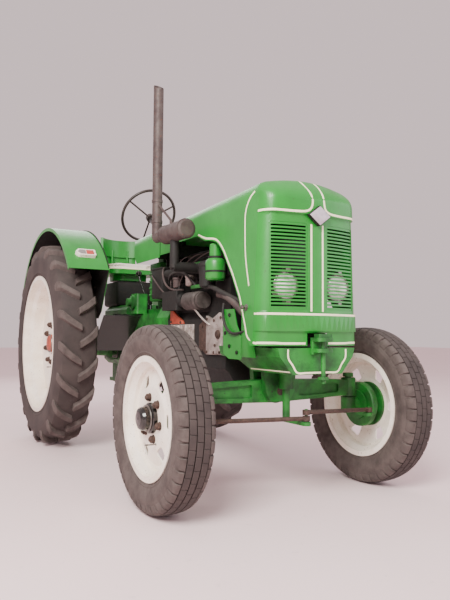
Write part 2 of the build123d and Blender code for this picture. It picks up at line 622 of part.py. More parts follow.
with BuildPart() as hood:
    add(outer_form.part)
    add(nose_band(outer_form, 0.0).part, mode=Mode.SUBTRACT)
    add(hollow.part, mode=Mode.SUBTRACT)
    arch_cut()
    with BuildSketch(facing(NOSE_Y + NOSE_FACE_DEPTH)) as openings:
        with Locations((-panel_x, panel_z), (panel_x, panel_z)):
            RectangleRounded(panel_width, GRILLE_TOP - GRILLE_BOTTOM, GRILLE_CORNER)
        with Locations((0, HOOD_BOTTOM)):
            Rectangle(NOTCH_WIDTH, 2 * (NOTCH_TOP - HOOD_BOTTOM))
    extrude(openings.sketch, amount=2 * NOSE_FACE_DEPTH, mode=Mode.SUBTRACT)
    add(hinge_arms.part)
save(hood, "hood")

# Grille: the slotted sheet behind the two openings, following the bowed nose
slot_pitch = (GRILLE_TOP - GRILLE_BOTTOM) / (SLOT_COUNT + 1)
with BuildPart() as grille:
    add(Pos(0, NOSE_RECESS + SKIN_GAP, 0) * inner_form.part)
    add(Pos(0, NOSE_RECESS + SKIN_GAP + SHEET, 0) * inner_form.part, mode=Mode.SUBTRACT)
    block((-GRILLE_HALF_WIDTH - GRILLE_LAP, GRILLE_HALF_WIDTH + GRILLE_LAP),
          (NOSE_Y, NOSE_Y + NOSE_FACE_DEPTH), (GRILLE_BOTTOM - GRILLE_LAP, GRILLE_TOP + GRILLE_LAP),
          mode=Mode.INTERSECT)
    with BuildSketch(facing(NOSE_Y + NOSE_FACE_DEPTH)) as slots:
        with Locations((-panel_x, panel_z), (panel_x, panel_z)):
            with GridLocations(0, slot_pitch, 1, SLOT_COUNT):
                Rectangle(panel_width - 2 * SLOT_MARGIN, slot_pitch * SLOT_SHARE)
    extrude(slots.sketch, amount=2 * NOSE_FACE_DEPTH, mode=Mode.SUBTRACT)
save(grille, "grille")

# Headlamps behind the slots: bezel, bowl and glass turned as one, on two ears that reach the grille
HEADLAMP = [(0, 0), (0, HEADLAMP_RADIUS - 8), (4, HEADLAMP_RADIUS), (26, HEADLAMP_RADIUS),
            (30, HEADLAMP_RADIUS - 4), (50, HEADLAMP_RADIUS - 22), (HEADLAMP_BOWL_DEPTH, 24),
            (HEADLAMP_BOWL_DEPTH, 0)]
lamp_y = NOSE_Y + HEADLAMP_BEHIND_NOSE
ear_reach = HEADLAMP_RADIUS + HEADLAMP_EAR
for name, side in SIDES.items():
    ear_x = (side * HEADLAMP_X - HEADLAMP_EAR, side * HEADLAMP_X + HEADLAMP_EAR)
    with BuildPart() as headlamp:
        spun((side * HEADLAMP_X, lamp_y, HEADLAMP_Z), (0, 1, 0), HEADLAMP)
        for low in (HEADLAMP_Z - ear_reach, HEADLAMP_Z + ear_reach - 1.5 * HEADLAMP_EAR):
            block(ear_x, (NOSE_Y, lamp_y + HEADLAMP_EAR), (low, low + 1.5 * HEADLAMP_EAR))
        add(Pos(0, NOSE_RECESS + SHEET + 2 * SKIN_GAP, 0) * inner_form.part, mode=Mode.INTERSECT)
    save(headlamp, f"headlamp_{name}")


# Tail of the cowl seen from the side, as (ahead of its end, Z), and its sides' pull-in seen from above
COWL_HEEL = 112.0
COWL_TAIL_KNEE = 1466.0
COWL_PULL_IN = 11.0


def cowl_crown(edge):
    """Whether an edge is one of the two that run along the cowl's top."""
    box = edge.bounding_box()
    return box.min.Z > HOOD_SIDE_BOTTOM + HOOD_CROWN and box.size.Y > COWL_LENGTH / 2


def cowl_form(inset):
    """The tank cowl's form with its rounded tail; inset, it is the hollow, open in front and below."""
    reach = FORM_OVERRUN if inset else 0
    front = COWL_FRONT_Y - reach
    rear = COWL_REAR_Y - inset
    low = COWL_BOTTOM - reach
    top = HOOD_TOP - inset
    front_section = hood_section(front, inset)
    rear_section = hood_section(COWL_REAR_Y, inset)
    tail = COWL_TAIL_RADIUS - inset
    tail_wide = REAR_SHOULDER - inset - COWL_PULL_IN
    front_wide = tail_wide + HOOD_CROWN
    with BuildPart() as form:
        loft([front_section.sketch, rear_section.sketch], ruled=True)
        fillet(form.edges().filter_by(cowl_crown), radius=HOOD_RIM_RADIUS - inset)
        rear_top = top - (COWL_REAR_Y - NOSE_Y) * HOOD_FALL
        with BuildSketch(across(0)) as side_view:
            with BuildLine():
                Polyline((front, low), (rear - COWL_HEEL, low), (rear, COWL_TAIL_KNEE), (rear, rear_top + 1),
                         (front, rear_top + 1 + (rear - front) * HOOD_FALL), close=True)
            make_face()
            fillet(side_view.vertices().sort_by(Axis.Y)[-3:], radius=tail)
        extrude(side_view.sketch, amount=NOSE_FOOT, both=True, mode=Mode.INTERSECT)
        with BuildSketch(level(low - 1)) as plan:
            with BuildLine():
                Polyline((-front_wide, front - 1), (front_wide, front - 1), (tail_wide, rear),
                         (-tail_wide, rear), close=True)
            make_face()
            fillet(plan.vertices().group_by(Axis.Y)[-1], radius=COWL_PLAN_RADIUS - inset)
        extrude(plan.sketch, amount=HOOD_TOP, mode=Mode.INTERSECT)
    return form


# Steering column line, up through the cowl's tail
TILT = math.radians(STEERING_TILT)
COLUMN_DIR = Vector(0, math.cos(TILT), math.sin(TILT))
COLUMN_TOP = Vector(0, aft(-393), 1761)
COLUMN_FOOT = COLUMN_TOP - COLUMN_DIR * COLUMN_LENGTH
COLUMN_CAP = 20.0

cowl_outer = cowl_form(0.0)
with BuildPart() as lugs:
    for side in SIDES.values():
        lug_x = side * (HINGE_SPREAD + HINGE_LUG_THICKNESS) - HINGE_LUG_THICKNESS / 2
        prism(across(lug_x), hinge_outline(HINGE_LUG), HINGE_LUG_THICKNESS)
    add(cowl_outer.part, mode=Mode.INTERSECT)
with BuildPart() as cowl:
    add(cowl_outer.part)
    add(cowl_form(SHEET).part, mode=Mode.SUBTRACT)
    add(lugs.part)
    for side in SIDES.values():
        pin_inner = side * (HINGE_SPREAD - HINGE_ARM_THICKNESS / 2 - SHEET)
        pin_outer = side * (HINGE_SPREAD + 1.5 * HINGE_LUG_THICKNESS)
        rod((pin_inner, HINGE_Y, HINGE_Z), (pin_outer, HINGE_Y, HINGE_Z), HINGE_PIN_RADIUS)
    rod(tuple(COLUMN_FOOT), tuple(COLUMN_TOP), COLUMN_RADIUS + SKIN_GAP, mode=Mode.SUBTRACT)
save(cowl, "tank_cowl")

# Supports inside the cowl: the bulkhead behind the engine, and the pedestal that holds the column
BULKHEAD_BEHIND = 34.0
BULKHEAD_PLATE = 5.0
BULKHEAD_TOP = 1460.0
PEDESTAL_HALF_WIDTH = 90.0
PEDESTAL_LENGTH = 120.0
bulkhead_y = COWL_FRONT_Y + BULKHEAD_BEHIND
pedestal_rear = COLUMN_FOOT.Y - EASED_CORNER
with BuildPart() as supports:
    block((-NOSE_FOOT, NOSE_FOOT), (bulkhead_y, bulkhead_y + BULKHEAD_PLATE),
          (COWL_BOTTOM - BULKHEAD_PLATE, BULKHEAD_TOP))
    add(cowl_form(SHEET + SKIN_GAP).part, mode=Mode.INTERSECT)
    block((-ENGINE_HALF_WIDTH, ENGINE_HALF_WIDTH), (bulkhead_y, bulkhead_y + BULKHEAD_PLATE),
          (GEARBOX_TOP, COWL_BOTTOM))
    block((-PEDESTAL_HALF_WIDTH, PEDESTAL_HALF_WIDTH), (pedestal_rear - PEDESTAL_LENGTH, pedestal_rear),
          (COVER_TOP, COLUMN_FOOT.Z), CASTING_CORNER)
    rod(tuple(COLUMN_FOOT), tuple(COLUMN_TOP), COLUMN_RADIUS + SKIN_GAP, mode=Mode.SUBTRACT)
save(supports, "cowl_supports")

# Radiator with its header tank and filler neck
RADIATOR_Y = fore(-150)
CORE_SIZE = (430.0, 80.0)
CORE_TOP = 1470.0
TANK_SIZE = (400.0, 92.0)
TANK_BOTTOM = 1400.0
TANK_TOP = 1520.0
FILLER_RADIUS = 32.0
FILLER_HEIGHT = 40.0
with BuildPart() as radiator:
    for size, low, high in ((CORE_SIZE, BOLSTER_TOP, CORE_TOP), (TANK_SIZE, TANK_BOTTOM, TANK_TOP)):
        block((-size[0] / 2, size[0] / 2), (RADIATOR_Y - size[1] / 2, RADIATOR_Y + size[1] / 2), (low, high),
              CASTING_CORNER)
    rod((0, RADIATOR_Y, TANK_TOP), (0, RADIATOR_Y, TANK_TOP + FILLER_HEIGHT), FILLER_RADIUS)
save(radiator, "radiator")

# Engine: sump, crankcase, cylinders and head cover as one cast block
ENGINE_SECTION = [(120, 560), (165, 640), (ENGINE_HALF_WIDTH, 660), (ENGINE_HALF_WIDTH, 940), (158, 985),
                  (158, 1180), (176, 1186), (176, 1262), (130, 1280), (112, ENGINE_TOP)]
ENGINE_CORNER = 8.0
PULLEY_AHEAD = 62.0
CRANK_Z = 872.0
CRANK_PULLEY = [(0, 0), (0, 74), (40, 74), (40, 46), (64, 46), (64, 0)]
FAN_Z = 1150.0
FAN_PULLEY = [(0, 0), (0, 62), (36, 62), (36, 34), (64, 34), (64, 0)]
with BuildPart() as engine:
    mirrored = [(-x, z) for x, z in reversed(ENGINE_SECTION)]
    prism(facing(fore(ENGINE_REAR)), ENGINE_SECTION + mirrored, ENGINE_REAR - ENGINE_FRONT, ENGINE_CORNER)
    spun((0, fore(ENGINE_FRONT - PULLEY_AHEAD), CRANK_Z), (0, 1, 0), CRANK_PULLEY)
    spun((0, fore(ENGINE_FRONT - PULLEY_AHEAD), FAN_Z), (0, 1, 0), FAN_PULLEY)
save(engine, "engine_block")

# Generator on the engine's right side, with its pulley ahead of the body
CYLINDER_WALL_X = -158.0 - SKIN_GAP
HEAD_WALL_X = -176.0 - SKIN_GAP
GENERATOR_START = (-218.0, fore(390), 1050.0)
GENERATOR = [(0, 0), (0, 48), (22, 48), (22, 20), (30, 20), (30, 50), (40, 55), (196, 55), (206, 46),
             (206, 0)]
with BuildPart() as generator:
    spun(GENERATOR_START, (0, 1, 0), GENERATOR)
    block((-200, CYLINDER_WALL_X), (fore(450), fore(550)), (1020, 1060), PLATE_CORNER)
save(generator, "generator")

# Injection pump with its drive cover and four delivery valves
PUMP_X = -226.0
PUMP_HALF_WIDTH = 42.0
PUMP_FRONT = 662.0
PUMP_Z = 1060.0
PUMP_TOP = 1120.0
PUMP_COVER = [(0, 0), (0, 34), (14, 44), (42, 44), (42, 0)]
VALVE = [(0, 0), (0, 13), (22, 13), (22, 7), (34, 7), (34, 0)]
VALVE_COUNT = 4
VALVE_PITCH = 42.0
VALVE_SUNK = 2.0
with BuildPart() as pump:
    block((PUMP_X - PUMP_HALF_WIDTH, CYLINDER_WALL_X), (fore(PUMP_FRONT), fore(880)), (1000, PUMP_TOP), 12)
    spun((PUMP_X, fore(PUMP_FRONT - 40), PUMP_Z), (0, 1, 0), PUMP_COVER)
    for index in range(VALVE_COUNT):
        valve_y = fore(PUMP_FRONT + VALVE_PITCH * (index + 1))
        spun((PUMP_X, valve_y, PUMP_TOP - VALVE_SUNK), (0, 0, 1), VALVE)
save(pump, "injection_pump")

# Oil filter bottle on its bracket
FILTER_FOOT = (-232.0, fore(320), 1115.0)
FILTER = [(0, 0), (0, 34), (10, 46), (118, 50), (126, 54), (140, 54), (152, 40), (158, 16), (158, 0)]
FILTER_BRACKET_X = -202.0
with BuildPart() as oil_filter:
    spun(FILTER_FOOT, (0, 0, 1), FILTER)
    block((FILTER_BRACKET_X, HEAD_WALL_X), (fore(295), fore(345)), (1190, 1250), PLATE_CORNER)
save(oil_filter, "oil_filter")

# Exhaust manifold: the collecting pipe and its three ports
MANIFOLD_X = -222.0
MANIFOLD_RADIUS = 30.0
PORT_RADIUS = 26.0
PORT_DROP = 8.0
PORTS = (440, 640, 840)
with BuildPart() as manifold:
    rod((MANIFOLD_X, fore(400), MANIFOLD_Z), (MANIFOLD_X, fore(890), MANIFOLD_Z), MANIFOLD_RADIUS)
    for port in PORTS:
        port_z = MANIFOLD_Z - PORT_DROP
        rod((MANIFOLD_X, fore(port), port_z), (HEAD_WALL_X, fore(port), port_z), PORT_RADIUS)
save(manifold, "exhaust_manifold")

# Side plates between the bolster and the hood
SIDE_PLATE = [(-64, BOLSTER_TOP - 66), (-64, 838), (-20, 900), (10, 986), (120, 986),
              (120, BOLSTER_TOP - 40), (60, BOLSTER_TOP - 66)]
SIDE_PLATE_X = 234.0
SIDE_PLATE_SHEET = 6.0
SIDE_PLATE_CORNER = 8.0
with BuildPart() as side_plates:
    for side in SIDES.values():
        x = side * (SIDE_PLATE_X + SKIN_GAP) - (SIDE_PLATE_SHEET if side < 0 else 0)
        prism(across(x), [(fore(y), z) for y, z in SIDE_PLATE], SIDE_PLATE_SHEET, SIDE_PLATE_CORNER)
save(side_plates, "side_plates")

# Gearbox: bell housing, neck with its cover, and the transmission case round the rear axle
BELL = [(-ENGINE_HALF_WIDTH, 640), (-ENGINE_HALF_WIDTH, 960), (-130, GEARBOX_TOP), (130, GEARBOX_TOP),
        (ENGINE_HALF_WIDTH, 960), (ENGINE_HALF_WIDTH, 640), (120, 580), (-120, 580)]
CASE = [(-GEARBOX_HALF_WIDTH, GEARBOX_BOTTOM + 40), (-GEARBOX_HALF_WIDTH, GEARBOX_TOP - 40),
        (-GEARBOX_HALF_WIDTH + 40, GEARBOX_TOP), (GEARBOX_HALF_WIDTH - 40, GEARBOX_TOP),
        (GEARBOX_HALF_WIDTH, GEARBOX_TOP - 40), (GEARBOX_HALF_WIDTH, GEARBOX_BOTTOM + 40),
        (GEARBOX_HALF_WIDTH - 40, GEARBOX_BOTTOM), (40 - GEARBOX_HALF_WIDTH, GEARBOX_BOTTOM)]
CASE_FRONT = -330.0
CASE_REAR = 190.0
NECK_BOTTOM = 640.0
NECK_LAP = 20.0
COVER_HALF_WIDTH = 84.0
COVER_MARGIN = 60.0
CASE_CORNER = 12.0
PTO_COLLAR_RADIUS = 60.0
PTO_COLLAR = 16.0
bell_rear = ENGINE_REAR + BELL_LENGTH
pto_start = aft(CASE_REAR + PTO_COLLAR)
with BuildPart() as gearbox:
    prism(facing(fore(bell_rear)), BELL, BELL_LENGTH, CASTING_CORNER)
    block((-GEARBOX_NECK_HALF_WIDTH, GEARBOX_NECK_HALF_WIDTH),
          (fore(ENGINE_REAR + NECK_LAP), aft(CASE_FRONT + NECK_LAP)), (NECK_BOTTOM, NECK_TOP), CASTING_CORNER)
    block((-COVER_HALF_WIDTH, COVER_HALF_WIDTH),
          (fore(bell_rear + COVER_MARGIN), aft(CASE_FRONT - COVER_MARGIN)), (NECK_TOP - NECK_LAP, COVER_TOP),
          CASTING_CORNER)
    prism(facing(aft(CASE_REAR)), CASE, CASE_REAR - CASE_FRONT, CASE_CORNER)
    rod((0, aft(CASE_REAR - PTO_COLLAR), PTO_Z), (0, pto_start, PTO_Z), PTO_COLLAR_RADIUS)
    rod((0, aft(CASE_REAR), PTO_Z), (0, pto_start + PTO_LENGTH, PTO_Z), PTO_RADIUS)
save(gearbox, "gearbox")

# Rear axle housings, turned as trumpets from the case to the brake flanges
AXLE_FLANGE = 22.0
AXLE_FLANGE_RADIUS = 122.0
tube_end = REAR_TRACK / 2 - AXLE_TUBE_END
bore = REAR_HALF_SHAFT + RUN_FIT
TRUMPET = [(GEARBOX_HALF_WIDTH, bore), (GEARBOX_HALF_WIDTH, 140), (GEARBOX_HALF_WIDTH + 24, 140),
           (GEARBOX_HALF_WIDTH + 60, 104), (GEARBOX_HALF_WIDTH + 180, AXLE_TUBE_RADIUS),
           (tube_end - AXLE_FLANGE, AXLE_TUBE_RADIUS), (tube_end - AXLE_FLANGE, AXLE_FLANGE_RADIUS),
           (tube_end, AXLE_FLANGE_RADIUS), (tube_end, bore)]
with BuildPart() as axle_housing:
    for side in SIDES.values():
        spun((0, REAR_AXLE_Y, REAR_TYRE_RADIUS), (side, 0, 0), TRUMPET)
save(axle_housing, "rear_axle_housings")


# Fenders: a rolled top sheet about the rear axle, an outer lip and an inner panel on a bracket

FENDER_MIDDLE_ANGLE = (FENDER_FRONT_ANGLE + FENDER_REAR_ANGLE) / 2


def arc_point(radius, degrees):
    """A point on a fender arc about the rear axle, as (Y, Z), from straight ahead over the top."""
    angle = math.radians(degrees)
    return (REAR_AXLE_Y - radius * math.cos(angle), REAR_TYRE_RADIUS + radius * math.sin(angle))


def fender_band(x, depth, inner_radius):
    """The part of a ring between the fender's two ends, in the piece being built."""
    angles = (FENDER_FRONT_ANGLE, FENDER_MIDDLE_ANGLE, FENDER_REAR_ANGLE)
    top = [arc_point(FENDER_RADIUS, angle) for angle in angles]
    under = [arc_point(inner_radius, angle) for angle in reversed(angles)]
    with BuildSketch(across(x)) as band:
        with BuildLine():
            ThreePointArc(*top)
            Line(top[-1], under[0])
            ThreePointArc(*under)
            Line(under[-1], top[0])
        make_face()
    extrude(band.sketch, amount=depth)


PANEL_FRONT_FOOT = (aft(-568), 1010.0)
PANEL_REAR_FOOT = (aft(420), 960.0)
PANEL_MIDDLE_FOOT = (aft(-500), 960.0)
BRACKET_X = 390.0
BRACKET_PLATE = 8.0
BRACKET_HEIGHT = 130.0
BRACKET_HALF_LENGTH = 90.0
# Lamp surround as (outwards, up the fender): pointed at the outer end, square at the inner one
LAMP_OUTLINE = [(76, 0), (50, 33), (-70, 33), (-70, -33), (50, -33)]
LAMP_DEPTH = 26.0
LAMP_CORNER = 10.0
bracket_foot = REAR_TYRE_RADIUS + AXLE_TUBE_RADIUS
for name, side in SIDES.items():
    with BuildPart() as fender:
        fender_band(side * FENDER_INNER_X, side * (FENDER_OUTER_X - FENDER_INNER_X),
                    FENDER_RADIUS - FENDER_SHEET)
        fender_band(side * FENDER_OUTER_X, -side * FENDER_SHEET, FENDER_RADIUS - FENDER_LIP)
        with BuildSketch(across(side * FENDER_INNER_X)):
            with BuildLine():
                ThreePointArc(arc_point(FENDER_RADIUS, FENDER_FRONT_ANGLE),
                              arc_point(FENDER_RADIUS, FENDER_MIDDLE_ANGLE),
                              arc_point(FENDER_RADIUS, FENDER_REAR_ANGLE))
                Polyline(arc_point(FENDER_RADIUS, FENDER_REAR_ANGLE), PANEL_REAR_FOOT, PANEL_MIDDLE_FOOT,
                         PANEL_FRONT_FOOT, arc_point(FENDER_RADIUS, FENDER_FRONT_ANGLE))
            make_face()
        extrude(amount=side * FENDER_SHEET)
        bracket_run = (aft(-BRACKET_HALF_LENGTH), aft(BRACKET_HALF_LENGTH))
        block(sorted((side * BRACKET_X, side * FENDER_INNER_X)), bracket_run,
              (bracket_foot, bracket_foot + BRACKET_PLATE))
        block(sorted((side * (FENDER_INNER_X - BRACKET_PLATE), side * FENDER_INNER_X)), bracket_run,
              (bracket_foot, bracket_foot + BRACKET_HEIGHT))
    save(fender, f"fender_{name}")
    lamp_angle = math.radians(FENDER_LAMP_ANGLE)
    lamp_spot = arc_point(FENDER_RADIUS + SKIN_GAP, FENDER_LAMP_ANGLE)
    outward = (0, -math.cos(lamp_angle), math.sin(lamp_angle))
    lamp_outline = [(side * x, z) for x, z in LAMP_OUTLINE]
    with BuildPart() as lamp:
        prism(Plane(origin=(side * FENDER_LAMP_X, *lamp_spot), x_dir=(1, 0, 0), z_dir=outward),
              lamp_outline, LAMP_DEPTH, LAMP_CORNER)
    save(lamp, f"fender_lamp_{name}")

# Foot boards: flat floor, sloping toe board, and the bracket down to the gearbox
BOARD = [(-150, 0), (-368, 0), (-618, 258), (-612, 263), (-366, FOOT_BOARD_SHEET), (-150, FOOT_BOARD_SHEET)]
BOARD_BRACKET = 60.0
for name, side in SIDES.items():
    near_x = side * (GEARBOX_HALF_WIDTH + SKIN_GAP)
    far_x = side * (FENDER_INNER_X - SKIN_GAP)
    with BuildPart() as foot_board:
        prism(across(near_x), [(aft(y), FOOT_BOARD_Z + z) for y, z in BOARD], far_x - near_x)
        block(sorted((near_x, side * (GEARBOX_HALF_WIDTH + BOARD_BRACKET))), (aft(-300), aft(-180)),
              (FOOT_BOARD_Z - BOARD_BRACKET, FOOT_BOARD_Z), PLATE_CORNER)
    save(foot_board, f"footplate_{name}")

# Pedals: clutch on the left, two brakes on the right, each an arm on its shaft with a tread plate
PEDALS_X = (-300, -226, 260)
PEDAL_PIVOT = (aft(-440), 850.0)
PEDAL_TOP = (aft(-503), 984.0)
PEDAL_PLATE = [(aft(-530), 975), (aft(-472), 988), (aft(-474), 998), (aft(-532), 985)]
PEDAL_WIDTH = 64.0
PEDAL_SHAFT_RADIUS = 12.0
PEDAL_ARM_RADIUS = 9.0
with BuildPart() as pedals:
    for x in PEDALS_X:
        case_x = math.copysign(GEARBOX_NECK_HALF_WIDTH, x)
        rod((case_x, *PEDAL_PIVOT), (x, *PEDAL_PIVOT), PEDAL_SHAFT_RADIUS)
        rod((x, *PEDAL_PIVOT), (x, *PEDAL_TOP), PEDAL_ARM_RADIUS)
        prism(across(x - PEDAL_WIDTH / 2), PEDAL_PLATE, PEDAL_WIDTH)
save(pedals, "pedals")

# Two gear levers with knobs, leaning apart, as (X, sideways lean)
LEVERS = ((-40, -60), (50, 90))
LEVER_BOOT = (26.0, 70.0)
LEVER_RADIUS = 8.0
LEVER_HEIGHT = 300.0
LEVER_BACK_LEAN = 60.0
KNOB = [(0, 0), (0, 12), (10, 22), (26, 24), (38, 16), (42, 0)]
lever_y = aft(CASE_FRONT - 130)
with BuildPart() as levers:
    for x, lean in LEVERS:
        boot_top = NECK_TOP + LEVER_BOOT[1]
        knob_spot = (x + lean, lever_y + LEVER_BACK_LEAN, NECK_TOP + LEVER_HEIGHT)
        rod((x, lever_y, COVER_TOP + SKIN_GAP), (x, lever_y, boot_top), LEVER_BOOT[0])
        rod((x, lever_y, boot_top - LEVER_RADIUS), knob_spot, LEVER_RADIUS)
        spun(knob_spot, (0, 0, 1), KNOB)
save(levers, "gear_levers")

# Steering gear housing on the neck, with its round cover
STEERING_GEAR_X = (-190.0, -95.0)
STEERING_COVER = [(0, 0), (0, 52), (18, 52), (26, 30), (52, 30), (52, 0)]
with BuildPart() as steering_gear:
    block(STEERING_GEAR_X, (aft(-590), aft(-470)), (NECK_TOP + SKIN_GAP, 1150), CASTING_CORNER)
    spun((STEERING_GEAR_X[0], aft(-530), 1085), (-1, 0, 0), STEERING_COVER)
save(steering_gear, "steering_gear")

# Seat: a pressed pan with a turned-up rim on its post, the pad, and the curved backrest band
SEAT_Y = aft(SEAT_BEHIND_AXLE)
half_width = SEAT_PAN_WIDTH / 2
half_depth = SEAT_PAN_DEPTH / 2
SPRING_SIZE = (300.0, 240.0, 50.0)
POST_SIZE = (120.0, 140.0)


def seat_block(half_x, half_y, z_range, corner, mode=Mode.ADD):
    """A block on the seat's middle, given by its half sizes, in the piece being built."""
    block((-half_x, half_x), (SEAT_Y - half_y, SEAT_Y + half_y), z_range, corner, mode)


inside = SEAT_PAN_SHEET
pad = SEAT_PAN_SHEET + SKIN_GAP
spring_bottom = SEAT_Z - SPRING_SIZE[2]
with BuildPart() as seat_pan:
    seat_block(half_width, half_depth, (SEAT_Z, SEAT_Z + SEAT_PAN_RIM), SEAT_PAN_CORNER)
    seat_block(half_width - inside, half_depth - inside, (SEAT_Z + inside, SEAT_Z + 2 * SEAT_PAN_RIM),
               SEAT_PAN_CORNER - inside, mode=Mode.SUBTRACT)
    seat_block(SPRING_SIZE[0] / 2, SPRING_SIZE[1] / 2, (spring_bottom, SEAT_Z), SEAT_PAN_CORNER)
    seat_block(POST_SIZE[0] / 2, POST_SIZE[1] / 2, (GEARBOX_TOP, spring_bottom), CASTING_CORNER)
save(seat_pan, "seat_pan")
with BuildPart() as cushion:
    seat_block(half_width - pad, half_depth - pad, (SEAT_Z + pad, SEAT_Z + pad + CUSHION_HEIGHT),
               SEAT_PAN_CORNER - pad)
save(cushion, "seat_cushion")
BACKREST_CENTRE_Y = SEAT_Y + half_depth - BACKREST_RADIUS + SEAT_PAN_RIM
BACKREST_SPAN = 62.0
BACKREST_POST_X = 70.0
BACKREST_POST_RADIUS = 11.0
with BuildPart() as backrest:
    with BuildSketch(level(BACKREST_BOTTOM)) as band:
        start = Vector(BACKREST_RADIUS, 0).rotate(Axis.Z, 90 - BACKREST_SPAN)
        finish = Vector(BACKREST_RADIUS, 0).rotate(Axis.Z, 90 + BACKREST_SPAN)
        shrink = 1 - BACKREST_SHEET / BACKREST_RADIUS
        with BuildLine(Plane(origin=(0, BACKREST_CENTRE_Y, 0))):
            ThreePointArc((start.X, start.Y), (0, BACKREST_RADIUS), (finish.X, finish.Y))
            Line((finish.X, finish.Y), (finish.X * shrink, finish.Y * shrink))
            ThreePointArc((finish.X * shrink, finish.Y * shrink), (0, BACKREST_RADIUS * shrink),
                          (start.X * shrink, start.Y * shrink))
            Line((start.X * shrink, start.Y * shrink), (start.X, start.Y))
        make_face()
    extrude(band.sketch, amount=BACKREST_HEIGHT)
    post_y = SEAT_Y + half_depth + BACKREST_POST_RADIUS + SKIN_GAP
    for side in SIDES.values():
        rod((side * BACKREST_POST_X, post_y, SEAT_Z), (side * BACKREST_POST_X, post_y, BACKREST_BOTTOM + 60),
            BACKREST_POST_RADIUS)
save(backrest, "seat_backrest")

# Steering column and wheel
with BuildPart() as column:
    rod(tuple(COLUMN_FOOT), tuple(COLUMN_TOP - COLUMN_DIR * COLUMN_CAP), COLUMN_RADIUS)
    rod(tuple(COLUMN_FOOT), tuple(COLUMN_TOP + COLUMN_DIR * COLUMN_CAP), COLUMN_SHAFT_RADIUS)
save(column, "steering_column")
WHEEL_PLANE = Plane(origin=COLUMN_TOP, x_dir=(1, 0, 0), z_dir=COLUMN_DIR)
WHEEL_HUB_RADIUS = 34.0
WHEEL_HUB_HEIGHT = 34.0
HUB_LAP = 4.0
SPOKE_RADIUS = 7.0
SPOKE_START = 20.0
SPOKE_ANGLES = (90, 210, 330)
with BuildPart() as steering_wheel:
    with BuildSketch(Plane(origin=COLUMN_TOP, x_dir=(1, 0, 0), z_dir=(0, -math.sin(TILT), math.cos(TILT)))):
        with Locations((STEERING_WHEEL_RADIUS, STEERING_RIM_DISH)):
            Circle(STEERING_RIM_RADIUS)
    revolve(axis=Axis(COLUMN_TOP, COLUMN_DIR))
    for turn in SPOKE_ANGLES:
        angle = math.radians(turn)
        ray = Vector(math.cos(angle), math.sin(angle), 0)
        spoke_start = WHEEL_PLANE.from_local_coords(ray * SPOKE_START + Vector(0, 0, COLUMN_CAP + HUB_LAP))
        rim_spot = ray * STEERING_WHEEL_RADIUS + Vector(0, 0, STEERING_RIM_DISH)
        spoke_end = WHEEL_PLANE.from_local_coords(rim_spot)
        rod(tuple(spoke_start), tuple(spoke_end), SPOKE_RADIUS)
    rod(tuple(COLUMN_TOP), tuple(COLUMN_TOP + COLUMN_DIR * WHEEL_HUB_HEIGHT), WHEEL_HUB_RADIUS)
    rod(tuple(COLUMN_TOP), tuple(COLUMN_TOP + COLUMN_DIR * (COLUMN_CAP + HUB_LAP / 2)),
        COLUMN_SHAFT_RADIUS + RUN_FIT, mode=Mode.SUBTRACT)
save(steering_wheel, "steering_wheel")

# Muffler: drum along the hood's right side on its inlet pipe, with the outlet neck behind
NECK_RADIUS = 38.0
NECK_START = 14.0
NECK_SHORT = 100.0
INLET_BEHIND = 440.0
INLET_RADIUS = 27.0
ELBOW_RADIUS = 29.0
ELBOW_REACH = 10.0
drum = MUFFLER_REAR - MUFFLER_FRONT
neck_end = STACK_BEHIND_AXLE - MUFFLER_FRONT - NECK_SHORT
DRUM = [(0, 0), (0, MUFFLER_RADIUS - 14), (5, MUFFLER_RADIUS - 3), (12, MUFFLER_RADIUS),
        (drum - 12, MUFFLER_RADIUS), (drum - 3, MUFFLER_RADIUS - 5), (drum, MUFFLER_RADIUS - 16),
        (drum + NECK_START, NECK_RADIUS), (neck_end, NECK_RADIUS), (neck_end, 0)]
with BuildPart() as muffler:
    spun((MUFFLER_X, fore(MUFFLER_FRONT), MUFFLER_Z), (0, 1, 0), DRUM)
    rod((MUFFLER_X, fore(INLET_BEHIND), MANIFOLD_Z - PORT_DROP), (MUFFLER_X, fore(INLET_BEHIND), MUFFLER_Z),
        INLET_RADIUS)
    rod((MUFFLER_X - ELBOW_REACH, fore(INLET_BEHIND), MANIFOLD_Z),
        (MANIFOLD_X - MANIFOLD_RADIUS - SKIN_GAP, fore(INLET_BEHIND), MANIFOLD_Z), ELBOW_RADIUS)
save(muffler, "muffler")

